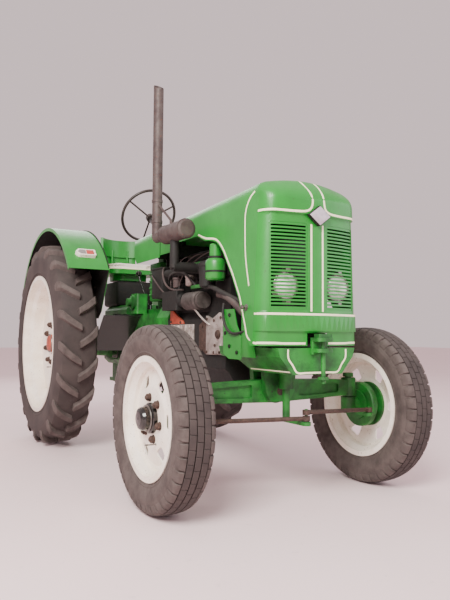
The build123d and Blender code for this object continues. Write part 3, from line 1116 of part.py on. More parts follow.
# Upright stack from the neck, braced to a post on the drum, cut aslant at the top
STACK_CUT = 44.0
STACK_CUT_REACH = 60.0
BRACE_TOP = 1660.0
BRACE_REACH = 210.0
BRACE_RADIUS = 7.0
BRACE_FOOT_Z = 1514.0
POST_RADIUS = 10.0
stack_y = fore(STACK_BEHIND_AXLE)
stack_start = (MUFFLER_X, fore(MUFFLER_FRONT) + neck_end + SKIN_GAP, MUFFLER_Z)
brace_y = stack_y - BRACE_REACH
with BuildPart() as stack:
    with BuildLine():
        Polyline(stack_start, (MUFFLER_X, stack_y, MUFFLER_Z), (MUFFLER_X, stack_y, STACK_TOP))
    with BuildSketch(Plane(origin=stack_start, z_dir=(0, 1, 0))):
        Circle(STACK_RADIUS)
    sweep(transition=Transition.ROUND)
    rod((MUFFLER_X, stack_y, BRACE_TOP), (MUFFLER_X, brace_y, BRACE_FOOT_Z), BRACE_RADIUS)
    rod((MUFFLER_X, brace_y, MUFFLER_Z + MUFFLER_RADIUS + SKIN_GAP),
        (MUFFLER_X, brace_y, BRACE_FOOT_Z + BRACE_RADIUS), POST_RADIUS)
    rod((MUFFLER_X, stack_y, BRACE_FOOT_Z), (MUFFLER_X, stack_y, STACK_TOP + STACK_CUT),
        STACK_RADIUS - STACK_WALL, mode=Mode.SUBTRACT)
    rise = STACK_CUT_REACH * STACK_CUT / (2 * STACK_RADIUS)
    cut_middle = STACK_TOP - STACK_CUT / 2
    prism(across(MUFFLER_X), [(stack_y - STACK_CUT_REACH, cut_middle - rise),
                              (stack_y + STACK_CUT_REACH, cut_middle + rise),
                              (stack_y + STACK_CUT_REACH, cut_middle + 2 * rise),
                              (stack_y - STACK_CUT_REACH, cut_middle + 2 * rise)],
          2 * STACK_RADIUS, mode=Mode.SUBTRACT, both=True)
save(stack, "exhaust_stack")

# Rear drawbar: a flat bar with its pin hole, hung under the case by two straps and a cross plate
DRAWBAR_Z = 430.0
DRAWBAR_THICKNESS = 30.0
DRAWBAR_HALF_WIDTH = 35.0
DRAWBAR_CORNER = 30.0
DRAWBAR_RUN = (aft(-60), aft(460))
DRAWBAR_HOLE_Y = aft(425)
DRAWBAR_HOLE_RADIUS = 14.0
STRAP_X = (85.0, 110.0)
STRAP_RUN = (aft(0), aft(150))
CROSS_PLATE = 14.0
CROSS_PLATE_LAP = 4.0
CROSS_PLATE_RUN = (aft(20), aft(130))
drawbar_top = DRAWBAR_Z + DRAWBAR_THICKNESS
with BuildPart() as drawbar:
    block((-DRAWBAR_HALF_WIDTH, DRAWBAR_HALF_WIDTH), DRAWBAR_RUN, (DRAWBAR_Z, drawbar_top), DRAWBAR_CORNER)
    rod((0, DRAWBAR_HOLE_Y, DRAWBAR_Z), (0, DRAWBAR_HOLE_Y, drawbar_top), DRAWBAR_HOLE_RADIUS,
        mode=Mode.SUBTRACT)
    for side in SIDES.values():
        block(sorted((side * STRAP_X[0], side * STRAP_X[1])), STRAP_RUN, (drawbar_top, GEARBOX_BOTTOM),
              PLATE_CORNER)
    block((-STRAP_X[1], STRAP_X[1]), CROSS_PLATE_RUN,
          (drawbar_top - CROSS_PLATE_LAP, drawbar_top + CROSS_PLATE), PLATE_CORNER)
save(drawbar, "rear_drawbar")

# Front hitch: two jaw plates on a back plate, and the long pin with its collar and grip
JAW_HALF_WIDTH = 46.0
JAW_REACH = 74.0
JAW_PLATE = 18.0
JAW_CORNER = 24.0
JAW_LEVELS = (770.0, 822.0)
JAW_BACK = 20.0
JAW_BACK_LEVELS = (760.0, 840.0)
HITCH_PIN_RADIUS = 11.0
HITCH_PIN_AHEAD = 42.0
HITCH_PIN_BOTTOM = 622.0
PIN_COLLAR_RADIUS = 26.0
PIN_COLLAR_LEVELS = (640.0, 652.0)
PIN_GRIP_HALF_WIDTH = 40.0
PIN_GRIP_HEIGHT = 18.0
pin_y = BOLSTER_FRONT - HITCH_PIN_AHEAD
jaw_rear = BOLSTER_FRONT - SKIN_GAP
grip_bottom = JAW_BACK_LEVELS[1] + SKIN_GAP
with BuildPart() as hitch:
    for low in JAW_LEVELS:
        block((-JAW_HALF_WIDTH, JAW_HALF_WIDTH), (jaw_rear - JAW_REACH, jaw_rear), (low, low + JAW_PLATE),
              JAW_CORNER)
    block((-JAW_HALF_WIDTH, JAW_HALF_WIDTH), (jaw_rear - JAW_BACK, jaw_rear), JAW_BACK_LEVELS, PLATE_CORNER)
    rod((0, pin_y, JAW_BACK_LEVELS[0]), (0, pin_y, JAW_BACK_LEVELS[1]), HITCH_PIN_RADIUS + SKIN_GAP,
        mode=Mode.SUBTRACT)
save(hitch, "front_hitch_jaw")
with BuildPart() as hitch_pin:
    rod((0, pin_y, HITCH_PIN_BOTTOM), (0, pin_y, grip_bottom + PIN_GRIP_HEIGHT / 2), HITCH_PIN_RADIUS)
    rod((0, pin_y, PIN_COLLAR_LEVELS[0]), (0, pin_y, PIN_COLLAR_LEVELS[1]), PIN_COLLAR_RADIUS)
    block((-PIN_GRIP_HALF_WIDTH, PIN_GRIP_HALF_WIDTH),
          (pin_y - 2 * HITCH_PIN_RADIUS, pin_y + 2 * HITCH_PIN_RADIUS),
          (grip_bottom, grip_bottom + PIN_GRIP_HEIGHT), PLATE_CORNER)
save(hitch_pin, "hitch_pin")
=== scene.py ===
"""Looks of the farm tractor: tyres, wheels, hood trim, lamps, engine dressing, seat, finishes and light."""

import logging
import math
from collections.abc import Callable, Sequence
from dataclasses import dataclass
from enum import Enum

import bpy
from mathutils import Matrix, Vector
from mathutils.bvhtree import BVHTree


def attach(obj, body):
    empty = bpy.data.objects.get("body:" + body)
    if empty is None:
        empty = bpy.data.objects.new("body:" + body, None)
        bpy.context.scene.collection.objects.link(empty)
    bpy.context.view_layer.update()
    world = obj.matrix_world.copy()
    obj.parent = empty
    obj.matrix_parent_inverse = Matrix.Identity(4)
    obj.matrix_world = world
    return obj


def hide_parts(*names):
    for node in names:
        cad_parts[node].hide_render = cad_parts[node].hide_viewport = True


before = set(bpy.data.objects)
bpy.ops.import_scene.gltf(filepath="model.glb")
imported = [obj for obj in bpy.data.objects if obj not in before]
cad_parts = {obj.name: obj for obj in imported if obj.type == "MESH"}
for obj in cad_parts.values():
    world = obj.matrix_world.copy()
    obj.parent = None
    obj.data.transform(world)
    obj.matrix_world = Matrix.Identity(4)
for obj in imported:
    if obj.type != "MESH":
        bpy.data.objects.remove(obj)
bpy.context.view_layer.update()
LOG = logging.getLogger("tractor")

MM = 0.001
WELD = 0.02 * MM
Profile = Sequence[tuple[float, float]]
Piece = bpy.types.Object
Tree = bpy.types.NodeTree
Socket = bpy.types.NodeSocket
Settings = dict[object, object]
X_AXIS = Vector((1, 0, 0))
Y_AXIS = Vector((0, 1, 0))
Z_AXIS = Vector((0, 0, 1))


# Mesh tools


def mm(x: float, y: float, z: float) -> Vector:
    """A place given in millimetres, in metres."""
    return Vector((x, y, z)) * MM


def only(obj: Piece) -> None:
    """Make one object the only selected and the active one, in object mode.

    Args:
        obj: The object.
    """
    if bpy.context.mode != "OBJECT":
        bpy.ops.object.mode_set(mode="OBJECT")
    bpy.ops.object.select_all(action="DESELECT")
    obj.select_set(True)
    bpy.context.view_layer.objects.active = obj


def edit(obj: Piece) -> None:
    """Open one object in edit mode with everything selected.

    Args:
        obj: The object.
    """
    only(obj)
    bpy.ops.object.mode_set(mode="EDIT")
    bpy.ops.mesh.select_all(action="SELECT")


def started(name: str) -> Piece:
    """Name the primitive that was just added, open it in edit mode and return it.

    Args:
        name: Its name.

    Returns:
        The object, in edit mode.
    """
    obj = bpy.context.active_object
    obj.name = name
    edit(obj)
    return obj


def closed_up(obj: Piece, smooth_angle: float = 35.0) -> Piece:
    """Merge doubles, turn faces outwards, leave edit mode and put the origin at the world's.

    Args:
        obj: The object in edit mode.
        smooth_angle: Edges flatter than this many degrees are shaded smooth.

    Returns:
        The same object, in object mode.
    """
    bpy.ops.mesh.select_all(action="SELECT")
    bpy.ops.mesh.remove_doubles(threshold=WELD)
    bpy.ops.mesh.normals_make_consistent(inside=False)
    bpy.ops.object.mode_set(mode="OBJECT")
    bpy.ops.object.transform_apply(location=True, rotation=True, scale=True)
    bpy.ops.object.shade_smooth_by_angle(angle=math.radians(smooth_angle))
    return obj


def wire(name: str, points: Sequence[Vector]) -> Piece:
    """Start a mesh from one point and extrude it along the given points; stays in edit mode.

    Args:
        name: Name of the piece.
        points: Places along the line, in metres.

    Returns:
        The open line, in edit mode.
    """
    bpy.ops.mesh.primitive_plane_add(size=0.001, location=points[0])
    obj = started(name)
    bpy.ops.mesh.merge(type="CENTER")
    for before, after in zip(points, points[1:]):
        bpy.ops.mesh.extrude_vertices_move(TRANSFORM_OT_translate={"value": after - before})
    bpy.ops.mesh.select_all(action="SELECT")
    return obj


def lathe(
    name: str,
    centre: Vector,
    axis: Vector,
    profile: Profile,
    steps: int = 32,
    smooth_angle: float = 35.0,
) -> Piece:
    """Turn a profile round an axis.

    Args:
        name: Name of the piece.
        centre: Where distance 0 lies on the axis, in metres.
        axis: Direction of the axis.
        profile: (distance along the axis, radius) points in millimetres.
        steps: Divisions round the axis; 6 gives a hexagon.
        smooth_angle: Edges flatter than this many degrees are shaded smooth.

    Returns:
        The turned piece, in place.
    """
    along = axis.normalized()
    sideways = Z_AXIS if abs(along.z) < 0.9 else X_AXIS
    out = (sideways - along * sideways.dot(along)).normalized()
    obj = wire(name, [centre + (along * a + out * r) * MM for a, r in profile])
    bpy.ops.mesh.spin(steps=steps, angle=math.tau, center=centre, axis=along)
    return closed_up(obj, smooth_angle)


def hex_bolt(spot: Vector, out: Vector, radius: float, height: float) -> Piece:
    """A hexagonal bolt head whose foot is at the given place."""
    flats = [(-1, 0), (-1, radius), (height, radius), (height, 0)]
    return lathe("bolt", spot, out, flats, 6, 20)


def bar(
    name: str, centre: Vector, size: tuple[float, float, float], bevel: float, segments: int = 2
) -> Piece:
    """An oblong piece with rounded edges; sizes and bevel in millimetres.

    Args:
        name: Name of the piece.
        centre: Its middle, in metres.
        size: Its width, depth and height.
        bevel: Size of the rounded edges.
        segments: Steps across a rounded edge.

    Returns:
        The piece, in place.
    """
    bpy.ops.mesh.primitive_cube_add(size=1, location=centre, scale=[s * MM for s in size])
    bpy.ops.object.transform_apply(location=False, rotation=False, scale=True)
    obj = started(name)
    bpy.ops.mesh.bevel(offset=bevel * MM, segments=segments, affect="EDGES")
    return closed_up(obj, 50)


def plate(name: str, outline: Sequence[Vector], depth: Vector, bevel: float) -> Piece:
    """A flat piece of any outline.

    Args:
        name: Name of the piece.
        outline: Corners in order, in metres.
        depth: Direction and length of its thickness, in metres.
        bevel: Size of the rounded edges, in millimetres.

    Returns:
        The piece, in place.
    """
    obj = wire(name, outline)
    bpy.ops.mesh.edge_face_add()
    bpy.ops.mesh.extrude_region_move(TRANSFORM_OT_translate={"value": depth})
    bpy.ops.mesh.select_all(action="SELECT")
    bpy.ops.mesh.normals_make_consistent(inside=False)
    if bevel:
        bpy.ops.mesh.bevel(offset=bevel * MM, segments=2, affect="EDGES")
    return closed_up(obj, 50)


def tube(name: str, points: Sequence[Vector], radius: float, order: int = 3) -> Piece:
    """A round pipe, hose or rod along a smooth line; radius in millimetres.

    Args:
        name: Name of the piece.
        points: Places that guide the line, in metres.
        radius: Its radius.
        order: How soft the line is: 3 keeps closer to the places than 4.

    Returns:
        The piece, in place.
    """
    bpy.ops.curve.primitive_nurbs_path_add(location=(0, 0, 0))
    obj = bpy.context.active_object
    obj.name = name
    obj.data.splines.clear()
    spline = obj.data.splines.new("NURBS")
    spline.points.add(len(points) - 1)
    for spot, place in zip(spline.points, points):
        spot.co = (*place, 1)
    spline.order_u = min(order, len(points))
    spline.use_endpoint_u = True
    spline.resolution_u = 6
    obj.data.bevel_depth = radius * MM
    obj.data.bevel_resolution = 3
    obj.data.use_fill_caps = True
    only(obj)
    bpy.ops.object.convert(target="MESH")
    edit(obj)
    return closed_up(obj, 50)


def joined(name: str, parts: Sequence[Piece]) -> Piece:
    """Join several objects into one, under a new name.

    Args:
        name: The new name.
        parts: The objects, in place.

    Returns:
        The joined object.
    """
    bpy.ops.object.select_all(action="DESELECT")
    for part in parts:
        part.select_set(True)
    bpy.context.view_layer.objects.active = parts[0]
    if len(parts) > 1:
        bpy.ops.object.join()
    parts[0].name = name
    return parts[0]


def twin(obj: Piece, place: Matrix) -> Piece:
    """A copy with its own mesh, moved in its mesh by the given matrix.

    Args:
        obj: The object.
        place: The move.

    Returns:
        The copy.
    """
    copy = obj.copy()
    copy.data = obj.data.copy()
    copy.data.transform(place)
    bpy.context.scene.collection.objects.link(copy)
    return copy


def repeated(obj: Piece, places: Sequence[Matrix]) -> Piece:
    """Replace an object by joined copies of it at the given places.

    Args:
        obj: The object.
        places: One move for each copy.

    Returns:
        The joined copies.
    """
    name = obj.name
    copies = [twin(obj, place) for place in places]
    bpy.data.objects.remove(obj)
    return joined(name, copies)


def merged_copy(node: str, name: str) -> Piece:
    """A new object with a CAD node's mesh, its loose triangles merged.

    Args:
        node: The CAD node's name.
        name: Name of the piece.

    Returns:
        The new object.
    """
    obj = bpy.data.objects.new(name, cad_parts[node].data.copy())
    bpy.context.scene.collection.objects.link(obj)
    edit(obj)
    bpy.ops.mesh.remove_doubles(threshold=WELD / 2)
    bpy.ops.object.mode_set(mode="OBJECT")
    return obj


def turned(centre: Vector, axis: str, degrees: float) -> Matrix:
    """The matrix of a turn about an axis through a centre.

    Args:
        centre: The centre, in metres.
        axis: "X", "Y" or "Z".
        degrees: The turn.

    Returns:
        The matrix.
    """
    return (
        Matrix.Translation(centre)
        @ Matrix.Rotation(math.radians(degrees), 4, axis)
        @ Matrix.Translation(-centre)
    )


def modified(obj: Piece, kind: str, **settings: object) -> Piece:
    """Add one modifier with its settings and apply it.

    Args:
        obj: The object.
        kind: The modifier's type name.
        **settings: Its settings by name.

    Returns:
        The same object.
    """
    only(obj)
    modifier = obj.modifiers.new(kind.title(), kind)
    for key, value in settings.items():
        setattr(modifier, key, value)
    bpy.ops.object.modifier_apply(modifier=modifier.name)
    return obj


def slab(
    name: str,
    cells: tuple[int, int],
    place: Callable[[float, float, float], Vector],
    bevel: float,
) -> Piece:
    """A thick sheet whose grid points are laid on a surface.

    Args:
        name: Name of the piece.
        cells: Divisions along and across.
        place: Gives the place of (along 0..1, across -0.5..0.5, height 0 or 1).
        bevel: Size of the rounded edges in millimetres, 0 for none.

    Returns:
        The closed piece, in place.
    """
    bpy.ops.mesh.primitive_grid_add(x_subdivisions=cells[0], y_subdivisions=cells[1], size=1)
    obj = started(name)
    bpy.ops.mesh.extrude_region_move(TRANSFORM_OT_translate={"value": (0, 0, -1)})
    bpy.ops.object.mode_set(mode="OBJECT")
    for vertex in obj.data.vertices:
        x, y, z = vertex.co
        vertex.co = place(x + 0.5, y, z + 1)
    edit(obj)
    closed_up(obj, 40)
    if bevel:
        modified(obj, "BEVEL", width=bevel * MM, segments=1, limit_method="ANGLE", angle_limit=0.6)
    return obj


def along(points: Profile, share: float) -> tuple[float, float]:
    """The place at a share 0..1 of a line of equally spaced points.

    Args:
        points: The line's points.
        share: The share.

    Returns:
        The place on the line.
    """
    spot = min(max(share, 0.0), 1.0) * (len(points) - 1)
    index = min(int(spot), len(points) - 2)
    rest = spot - index
    (a, b), (c, d) = points[index], points[index + 1]
    return a + (c - a) * rest, b + (d - b) * rest


# Finishes


def linear(hex_colour: str) -> tuple[float, float, float, float]:
    """An sRGB hex colour as linear RGBA.

    Args:
        hex_colour: Such as "#1F8A2C".

    Returns:
        Red, green, blue and alpha, each 0 to 1.
    """
    channels = [int(hex_colour[i : i + 2], 16) / 255 for i in (1, 3, 5)]
    values = [c / 12.92 if c <= 0.04045 else ((c + 0.055) / 1.055) ** 2.4 for c in channels]
    return (*values, 1.0)


def add_node(tree: Tree, kind: str, settings: Settings) -> bpy.types.Node:
    """Add one node.

    Args:
        tree: The node tree it goes into.
        kind: The node's type name.
        settings: Attribute names, or input names or numbers; a value that is an output is linked.

    Returns:
        The new node.
    """
    node = tree.nodes.new(kind)
    for key, value in settings.items():
        if isinstance(key, str) and key.islower() and hasattr(node, key):
            setattr(node, key, value)
        elif isinstance(value, Socket):
            tree.links.new(value, node.inputs[key])
        else:
            node.inputs[key].default_value = value
    return node


def clouds(place: Socket, size: float, detail: float) -> Settings:
    """Settings of a noise whose clouds are the given millimetres wide."""
    return {"Vector": place, "Scale": 1 / (size * MM), "Detail": detail, "Roughness": 0.6}


def patches(cloud: bpy.types.Node, share: float, edge: float) -> Settings:
    """Settings of a range that turns a noise into patches covering about the given share."""
    low, high = 0.62 - 0.24 * share - edge, 0.62 - 0.24 * share + edge
    return {"Value": cloud.outputs["Fac"], "From Min": low, "From Max": high, "clamp": True}


def mixture(share: bpy.types.Node, low: object, high: object) -> Settings:
    """Settings of a mix of two colours, each a value or an output, by a range's result."""
    return {"data_type": "RGBA", 0: share.outputs["Result"], 6: low, 7: high}


def blank(name: str) -> tuple[bpy.types.Material, Tree, Socket]:
    """A new material without nodes but one, the object's own coordinates: (material, tree, output).

    Args:
        name: The material's name.

    Returns:
        The material, its node tree and the coordinates' output.
    """
    material = bpy.data.materials.new(name)
    material.use_nodes = True
    tree = material.node_tree
    tree.nodes.clear()
    return material, tree, add_node(tree, "ShaderNodeTexCoord", {}).outputs["Object"]


class Relief(Enum):
    """How the fine relief of a surface is drawn."""

    GRAIN = "grain"
    CAST = "cast"
    WEAVE = "weave"


@dataclass(frozen=True)
class Finish:
    """A surface as it is made: colours, gloss, and the real sizes of its marks in millimetres."""

    name: str
    base: str
    stain: str
    dust: str
    roughness: float
    metallic: float = 0.0
    coat: float = 0.0
    stain_size: float = 180.0
    stain_share: float = 0.35
    fleck_size: float = 9.0
    fleck_share: float = 0.02
    fleck: str = "#3A3A38"
    dust_share: float = 0.25
    grain_size: float = 3.0
    grain_depth: float = 0.15
    relief: Relief = Relief.GRAIN

    def build(self) -> bpy.types.Material:
        """Make the material from its nodes.

        Returns:
            The material.
        """
        material, tree, place = blank(self.name)
        shader = add_node(
            tree,
            "ShaderNodeBsdfPrincipled",
            {
                "Base Color": self._colour(tree, place),
                "Metallic": self.metallic,
                "Roughness": self._gloss(tree, place),
                "Coat Weight": self.coat,
                "Coat Roughness": 0.12,
                "Normal": self._bump(tree, place),
            },
        )
        add_node(tree, "ShaderNodeOutputMaterial", {"Surface": shader.outputs[0]})
        return material

    def _colour(self, tree: Tree, place: Socket) -> Socket:
        """Base colour with stains, dust on what looks up, and small flecks.

        Args:
            tree: The material's node tree.
            place: The coordinates' output.

        Returns:
            The colour's output.
        """
        noise, span, mix = "ShaderNodeTexNoise", "ShaderNodeMapRange", "ShaderNodeMix"
        cloud = add_node(tree, noise, clouds(place, self.stain_size, 5))
        stains = add_node(tree, span, patches(cloud, self.stain_share, 0.14))
        stained = add_node(tree, mix, mixture(stains, linear(self.base), linear(self.stain)))
        normal = add_node(tree, "ShaderNodeNewGeometry", {}).outputs["Normal"]
        upward = add_node(tree, "ShaderNodeSeparateXYZ", {"Vector": normal}).outputs["Z"]
        cloud = add_node(tree, noise, clouds(place, self.stain_size * 0.3, 6)).outputs["Fac"]
        settled = add_node(tree, "ShaderNodeMath", {"operation": "MULTIPLY", 0: upward, 1: cloud})
        reach = {"From Min": 0.1, "From Max": 0.8, "To Max": self.dust_share}
        film = add_node(tree, span, {"Value": settled.outputs[0], **reach})
        dusty = add_node(tree, mix, mixture(film, stained.outputs[2], linear(self.dust)))
        cloud = add_node(tree, noise, clouds(place, self.fleck_size, 2))
        flecks = add_node(tree, span, patches(cloud, self.fleck_share - 0.3, 0.02))
        return add_node(tree, mix, mixture(flecks, dusty.outputs[2], linear(self.fleck))).outputs[2]

    def _gloss(self, tree: Tree, place: Socket) -> Socket:
        """Roughness that wanders a little with the film of dirt.

        Args:
            tree: The material's node tree.
            place: The coordinates' output.

        Returns:
            The roughness output.
        """
        cloud = add_node(tree, "ShaderNodeTexNoise", clouds(place, self.stain_size * 0.5, 4))
        low, high = self.roughness * 0.8, min(self.roughness * 1.25, 1.0)
        settings = {"Value": cloud.outputs["Fac"], "To Min": low, "To Max": high}
        return add_node(tree, "ShaderNodeMapRange", settings).outputs["Result"]

    def _bump(self, tree: Tree, place: Socket) -> Socket:
        """Fine relief: paint's orange peel, the pits of a casting, or the print of a cloth.

        Args:
            tree: The material's node tree.
            place: The coordinates' output.

        Returns:
            The normal's output.
        """
        if self.relief is Relief.WEAVE:
            scale = math.tau / (self.grain_size * MM) / 20
            settings = {"Vector": place, "Scale": scale, "bands_direction": "X", "wave_profile": "SIN"}
            height = add_node(tree, "ShaderNodeTexWave", settings).outputs["Fac"]
        elif self.relief is Relief.CAST:
            settings = {"Vector": place, "Scale": 1 / (self.grain_size * MM)}
            height = add_node(tree, "ShaderNodeTexVoronoi", settings).outputs["Distance"]
        else:
            settings = clouds(place, self.grain_size, 3)
            height = add_node(tree, "ShaderNodeTexNoise", settings).outputs["Fac"]
        settings = {"Height": height, "Strength": 0.6, "Distance": self.grain_depth * MM}
        return add_node(tree, "ShaderNodeBump", settings).outputs["Normal"]


@dataclass(frozen=True)
class LampGlass:
    """Pressed glass: a thin tinted lens that keeps a sharp highlight; its colour also stands for the bowl
    behind it, a near-white painted reflection on the headlamps.
    """

    name: str
    tint: str
    rib_size: float = 9.0
    roughness: float = 0.08
    transmission: float = 0.35

    def build(self) -> bpy.types.Material:
        """Make the material from its nodes.

        Returns:
            The material.
        """
        material, tree, place = blank(self.name)
        ribs = add_node(
            tree,
            "ShaderNodeTexWave",
            {"Vector": place, "Scale": math.tau / (self.rib_size * MM) / 20, "bands_direction": "X"},
        )
        haze = add_node(tree, "ShaderNodeTexNoise", {"Vector": place, "Scale": 1 / (30 * MM)})
        settings = {"Value": haze.outputs["Fac"], "To Min": 0.82, "To Max": 1.0}
        pale = add_node(tree, "ShaderNodeMapRange", settings)
        colour = add_node(tree, "ShaderNodeMix", mixture(pale, linear("#5A5A58"), linear(self.tint)))
        bump = add_node(
            tree,
            "ShaderNodeBump",
            {"Height": ribs.outputs["Fac"], "Strength": 0.7, "Distance": 1.2 * MM},
        )
        shader = add_node(
            tree,
            "ShaderNodeBsdfPrincipled",
            {
                "Base Color": colour.outputs[2],
                "Roughness": self.roughness,
                "IOR": 1.5,
                "Transmission Weight": self.transmission,
                "Coat Weight": 1.0,
                "Coat Roughness": 0.03,
                "Normal": bump.outputs["Normal"],
            },
        )
        add_node(tree, "ShaderNodeOutputMaterial", {"Surface": shader.outputs[0]})
        return material


# Sprayed machine enamel: glossy, a little chalky on top, with the soft orange peel of a thick coat
GREEN_ENAMEL = Finish(
    "machine_enamel_green", base="#1F8A2C", stain="#1B7A27", dust="#4FA857", roughness=0.36, coat=0.1,
    stain_size=260, stain_share=0.3, dust_share=0.35, fleck="#2F6B2C", fleck_size=14, fleck_share=0.01,
    grain_size=7, grain_depth=0.12,
)
# The same enamel on castings, which stay rough under the paint and hold oily dirt
GREEN_CASTING = Finish(
    "enamelled_casting_green", base="#1E7D29", stain="#144A1B", dust="#459A4D", roughness=0.5,
    stain_size=90, stain_share=0.45, fleck="#1F2A1C", fleck_size=16, fleck_share=0.05,
    grain_size=5, grain_depth=0.7, relief=Relief.CAST,
)
# Cream wheel enamel: warm, with road dirt in soft patches
CREAM_ENAMEL = Finish(
    "wheel_enamel_cream", base="#FCF4E8", stain="#EDE0CF", dust="#F6EDDF", roughness=0.4, coat=0.1,
    stain_size=120, stain_share=0.3, fleck="#A08C78", fleck_size=10, fleck_share=0.02,
    grain_size=6, grain_depth=0.1,
)
# Lining paint, a clean warm cream
CREAM_LINING = Finish(
    "lining_paint_cream", base="#FFFCD9", stain="#F7F1CB", dust="#FFFDEA", roughness=0.45,
    stain_size=160, fleck="#D8D2A8", grain_size=6, grain_depth=0.05,
)
# Tyre rubber, dark grey-brown, the shaded copy of one rubber: painted shade on the rear tyres' walls and the
# front tyres' inner tread rows
RUBBER_PAINTED_SHADE = Finish(
    "dusty_rubber_painted_shade", base="#332B2A", stain="#453C3A", dust="#5C5451", roughness=0.88,
    stain_size=150, stain_share=0.45, dust_share=0.5, fleck="#423B39", fleck_size=12, fleck_share=0.03,
    grain_size=4, grain_depth=0.4,
)
# The same rubber paler, its lit copy: painted light on the rear lugs, the front walls and shoulders
RUBBER_PAINTED_LIGHT = Finish(
    "dusty_rubber_painted_light", base="#564C49", stain="#433A38", dust="#6F6562", roughness=0.88,
    stain_size=70, stain_share=0.45, dust_share=0.5, fleck="#4A403E", fleck_size=12, fleck_share=0.05,
    grain_size=4, grain_depth=0.4,
)
# Black castings and sheet, oily and sooty; the same near-black is painted shade on the engine block and oil
# filter, the grille slats' level faces, the fender arches, the muffler's underside and the lift housing
SOOTY_BLACK_AND_SHADE = Finish(
    "oily_black_and_painted_shade", base="#0B0C0A", stain="#161210", dust="#1F1A17", roughness=0.7,
    stain_size=60, stain_share=0.4, dust_share=0.12, fleck="#33271F", fleck_size=10, fleck_share=0.04,
    grain_size=4, grain_depth=0.5, relief=Relief.CAST,
)
# Grey iron casting, sand-rough with oil soaked into its pits
CAST_IRON = Finish(
    "grey_iron_casting", base="#5A5350", stain="#38322F", dust="#8B837D", roughness=0.58, metallic=0.35,
    stain_size=60, stain_share=0.5, fleck="#241F1D", fleck_size=10, fleck_share=0.06,
    grain_size=4, grain_depth=0.6, relief=Relief.CAST,
)
# Pale alloy casting of the engine's side covers, lightly oxidised
ALLOY_CASTING = Finish(
    "oxidised_alloy_casting", base="#B9AFA9", stain="#8C807A", dust="#CFC6C0", roughness=0.5, metallic=0.55,
    stain_size=50, stain_share=0.4, fleck="#6A4038", fleck_size=12, fleck_share=0.05,
    grain_size=4, grain_depth=0.4, relief=Relief.CAST,
)
# Steel browned by heat, matt and faintly streaked
HEATED_STEEL = Finish(
    "heat_browned_steel", base="#5D5350", stain="#4A3E3E", dust="#7A706B", roughness=0.6, metallic=0.45,
    stain_size=70, stain_share=0.5, fleck="#7A4A34", fleck_size=9, fleck_share=0.05,
    grain_size=3, grain_depth=0.25,
)
# Pewter-pale badge metal, satin polished, edges darker
BADGE_METAL = Finish(
    "satin_badge_metal", base="#C9BFC9", stain="#B5A9B6", dust="#DAD2DA", roughness=0.42, metallic=0.35,
    stain_size=30, stain_share=0.4, fleck="#8E8490", fleck_size=8, fleck_share=0.05,
    grain_size=3, grain_depth=0.1,
)
# Bare steel worn by use, still bright on the rubbed places
BARE_STEEL = Finish(
    "worn_bare_steel", base="#8E8A86", stain="#6B6560", dust="#A39C95", roughness=0.38, metallic=0.9,
    stain_size=40, stain_share=0.4, fleck="#5A3F33", fleck_size=6, fleck_share=0.05,
    grain_size=2, grain_depth=0.1,
)
# Rusty brown nuts and pins
RUSTED_STEEL = Finish(
    "rust_browned_fasteners", base="#54423B", stain="#3A2E2A", dust="#7E6A5F", roughness=0.65, metallic=0.4,
    stain_size=18, stain_share=0.5, fleck="#8A5A40", fleck_size=4, fleck_share=0.1,
    grain_size=2, grain_depth=0.25,
)
# Black enamel, deep gloss that mirrors the sky on domed caps; on the footplates the black is painted shade
GLOSS_BLACK_AND_SHADE = Finish(
    "gloss_black_enamel", base="#121210", stain="#1C1B19", dust="#3A3835", roughness=0.2, coat=0.35,
    stain_size=90, stain_share=0.3, dust_share=0.15, fleck="#303032", grain_size=6, grain_depth=0.05,
)
# Hard moulded rubber of the steering wheel and knobs, satin from hands
HARD_RUBBER = Finish(
    "moulded_hard_rubber", base="#29221F", stain="#3A322E", dust="#5E554F", roughness=0.4,
    stain_size=60, fleck="#151110", grain_size=3, grain_depth=0.08,
)
# Hose and boot rubber, dull black
HOSE_RUBBER = Finish(
    "hose_rubber", base="#1B1A19", stain="#2B2826", dust="#57524E", roughness=0.7,
    stain_size=50, fleck="#0E0D0D", grain_size=3, grain_depth=0.15,
)
# Red oxide enamel of the small side panel and the rear hubs
RED_ENAMEL = Finish(
    "red_oxide_enamel", base="#B4523C", stain="#8E3A2C", dust="#C88470", roughness=0.45,
    stain_size=50, stain_share=0.4, fleck="#4B2A22", fleck_size=9, fleck_share=0.05,
    grain_size=5, grain_depth=0.12,
)
# Coated seat cloth, off-white with the print of its backing and grubby seams
SEAT_CLOTH = Finish(
    "coated_seat_cloth", base="#F4ECE0", stain="#E0D3C4", dust="#FAF4EA", roughness=0.55,
    stain_size=110, stain_share=0.35, fleck="#B9A48F", fleck_size=7, fleck_share=0.02,
    grain_size=2.4, grain_depth=0.25, relief=Relief.WEAVE,
)
# Painted studio floor, pale and even
STUDIO_FLOOR = Finish(
    "studio_floor_paint", base="#F6DEE0", stain="#F3DADC", dust="#F8E2E4", roughness=0.85,
    stain_size=900, fleck="#EED6D8", fleck_size=60, fleck_share=0.0, grain_size=8, grain_depth=0.05,
)
GLASS_PAINTED_REFLECTION = LampGlass("pressed_glass_painted_reflection", tint="#FFFFFA", transmission=0.05)
RED_GLASS = LampGlass("pressed_red_glass", tint="#C8402E", transmission=0.1)
GREY_GLASS = LampGlass("pressed_smoked_glass", tint="#8F8C88", transmission=0.1)


class Paints:
    """The built materials, each made once and looked up by its finish."""

    def __init__(self) -> None:
        """Start with none built."""
        self._made: dict[str, bpy.types.Material] = {}

    def get(self, finish: Finish | LampGlass) -> bpy.types.Material:
        """The material of a finish, built on first use.

        Args:
            finish: The finish.

        Returns:
            Its material.
        """
        if finish.name not in self._made:
            self._made[finish.name] = finish.build()
        return self._made[finish.name]


PAINTS = Paints()


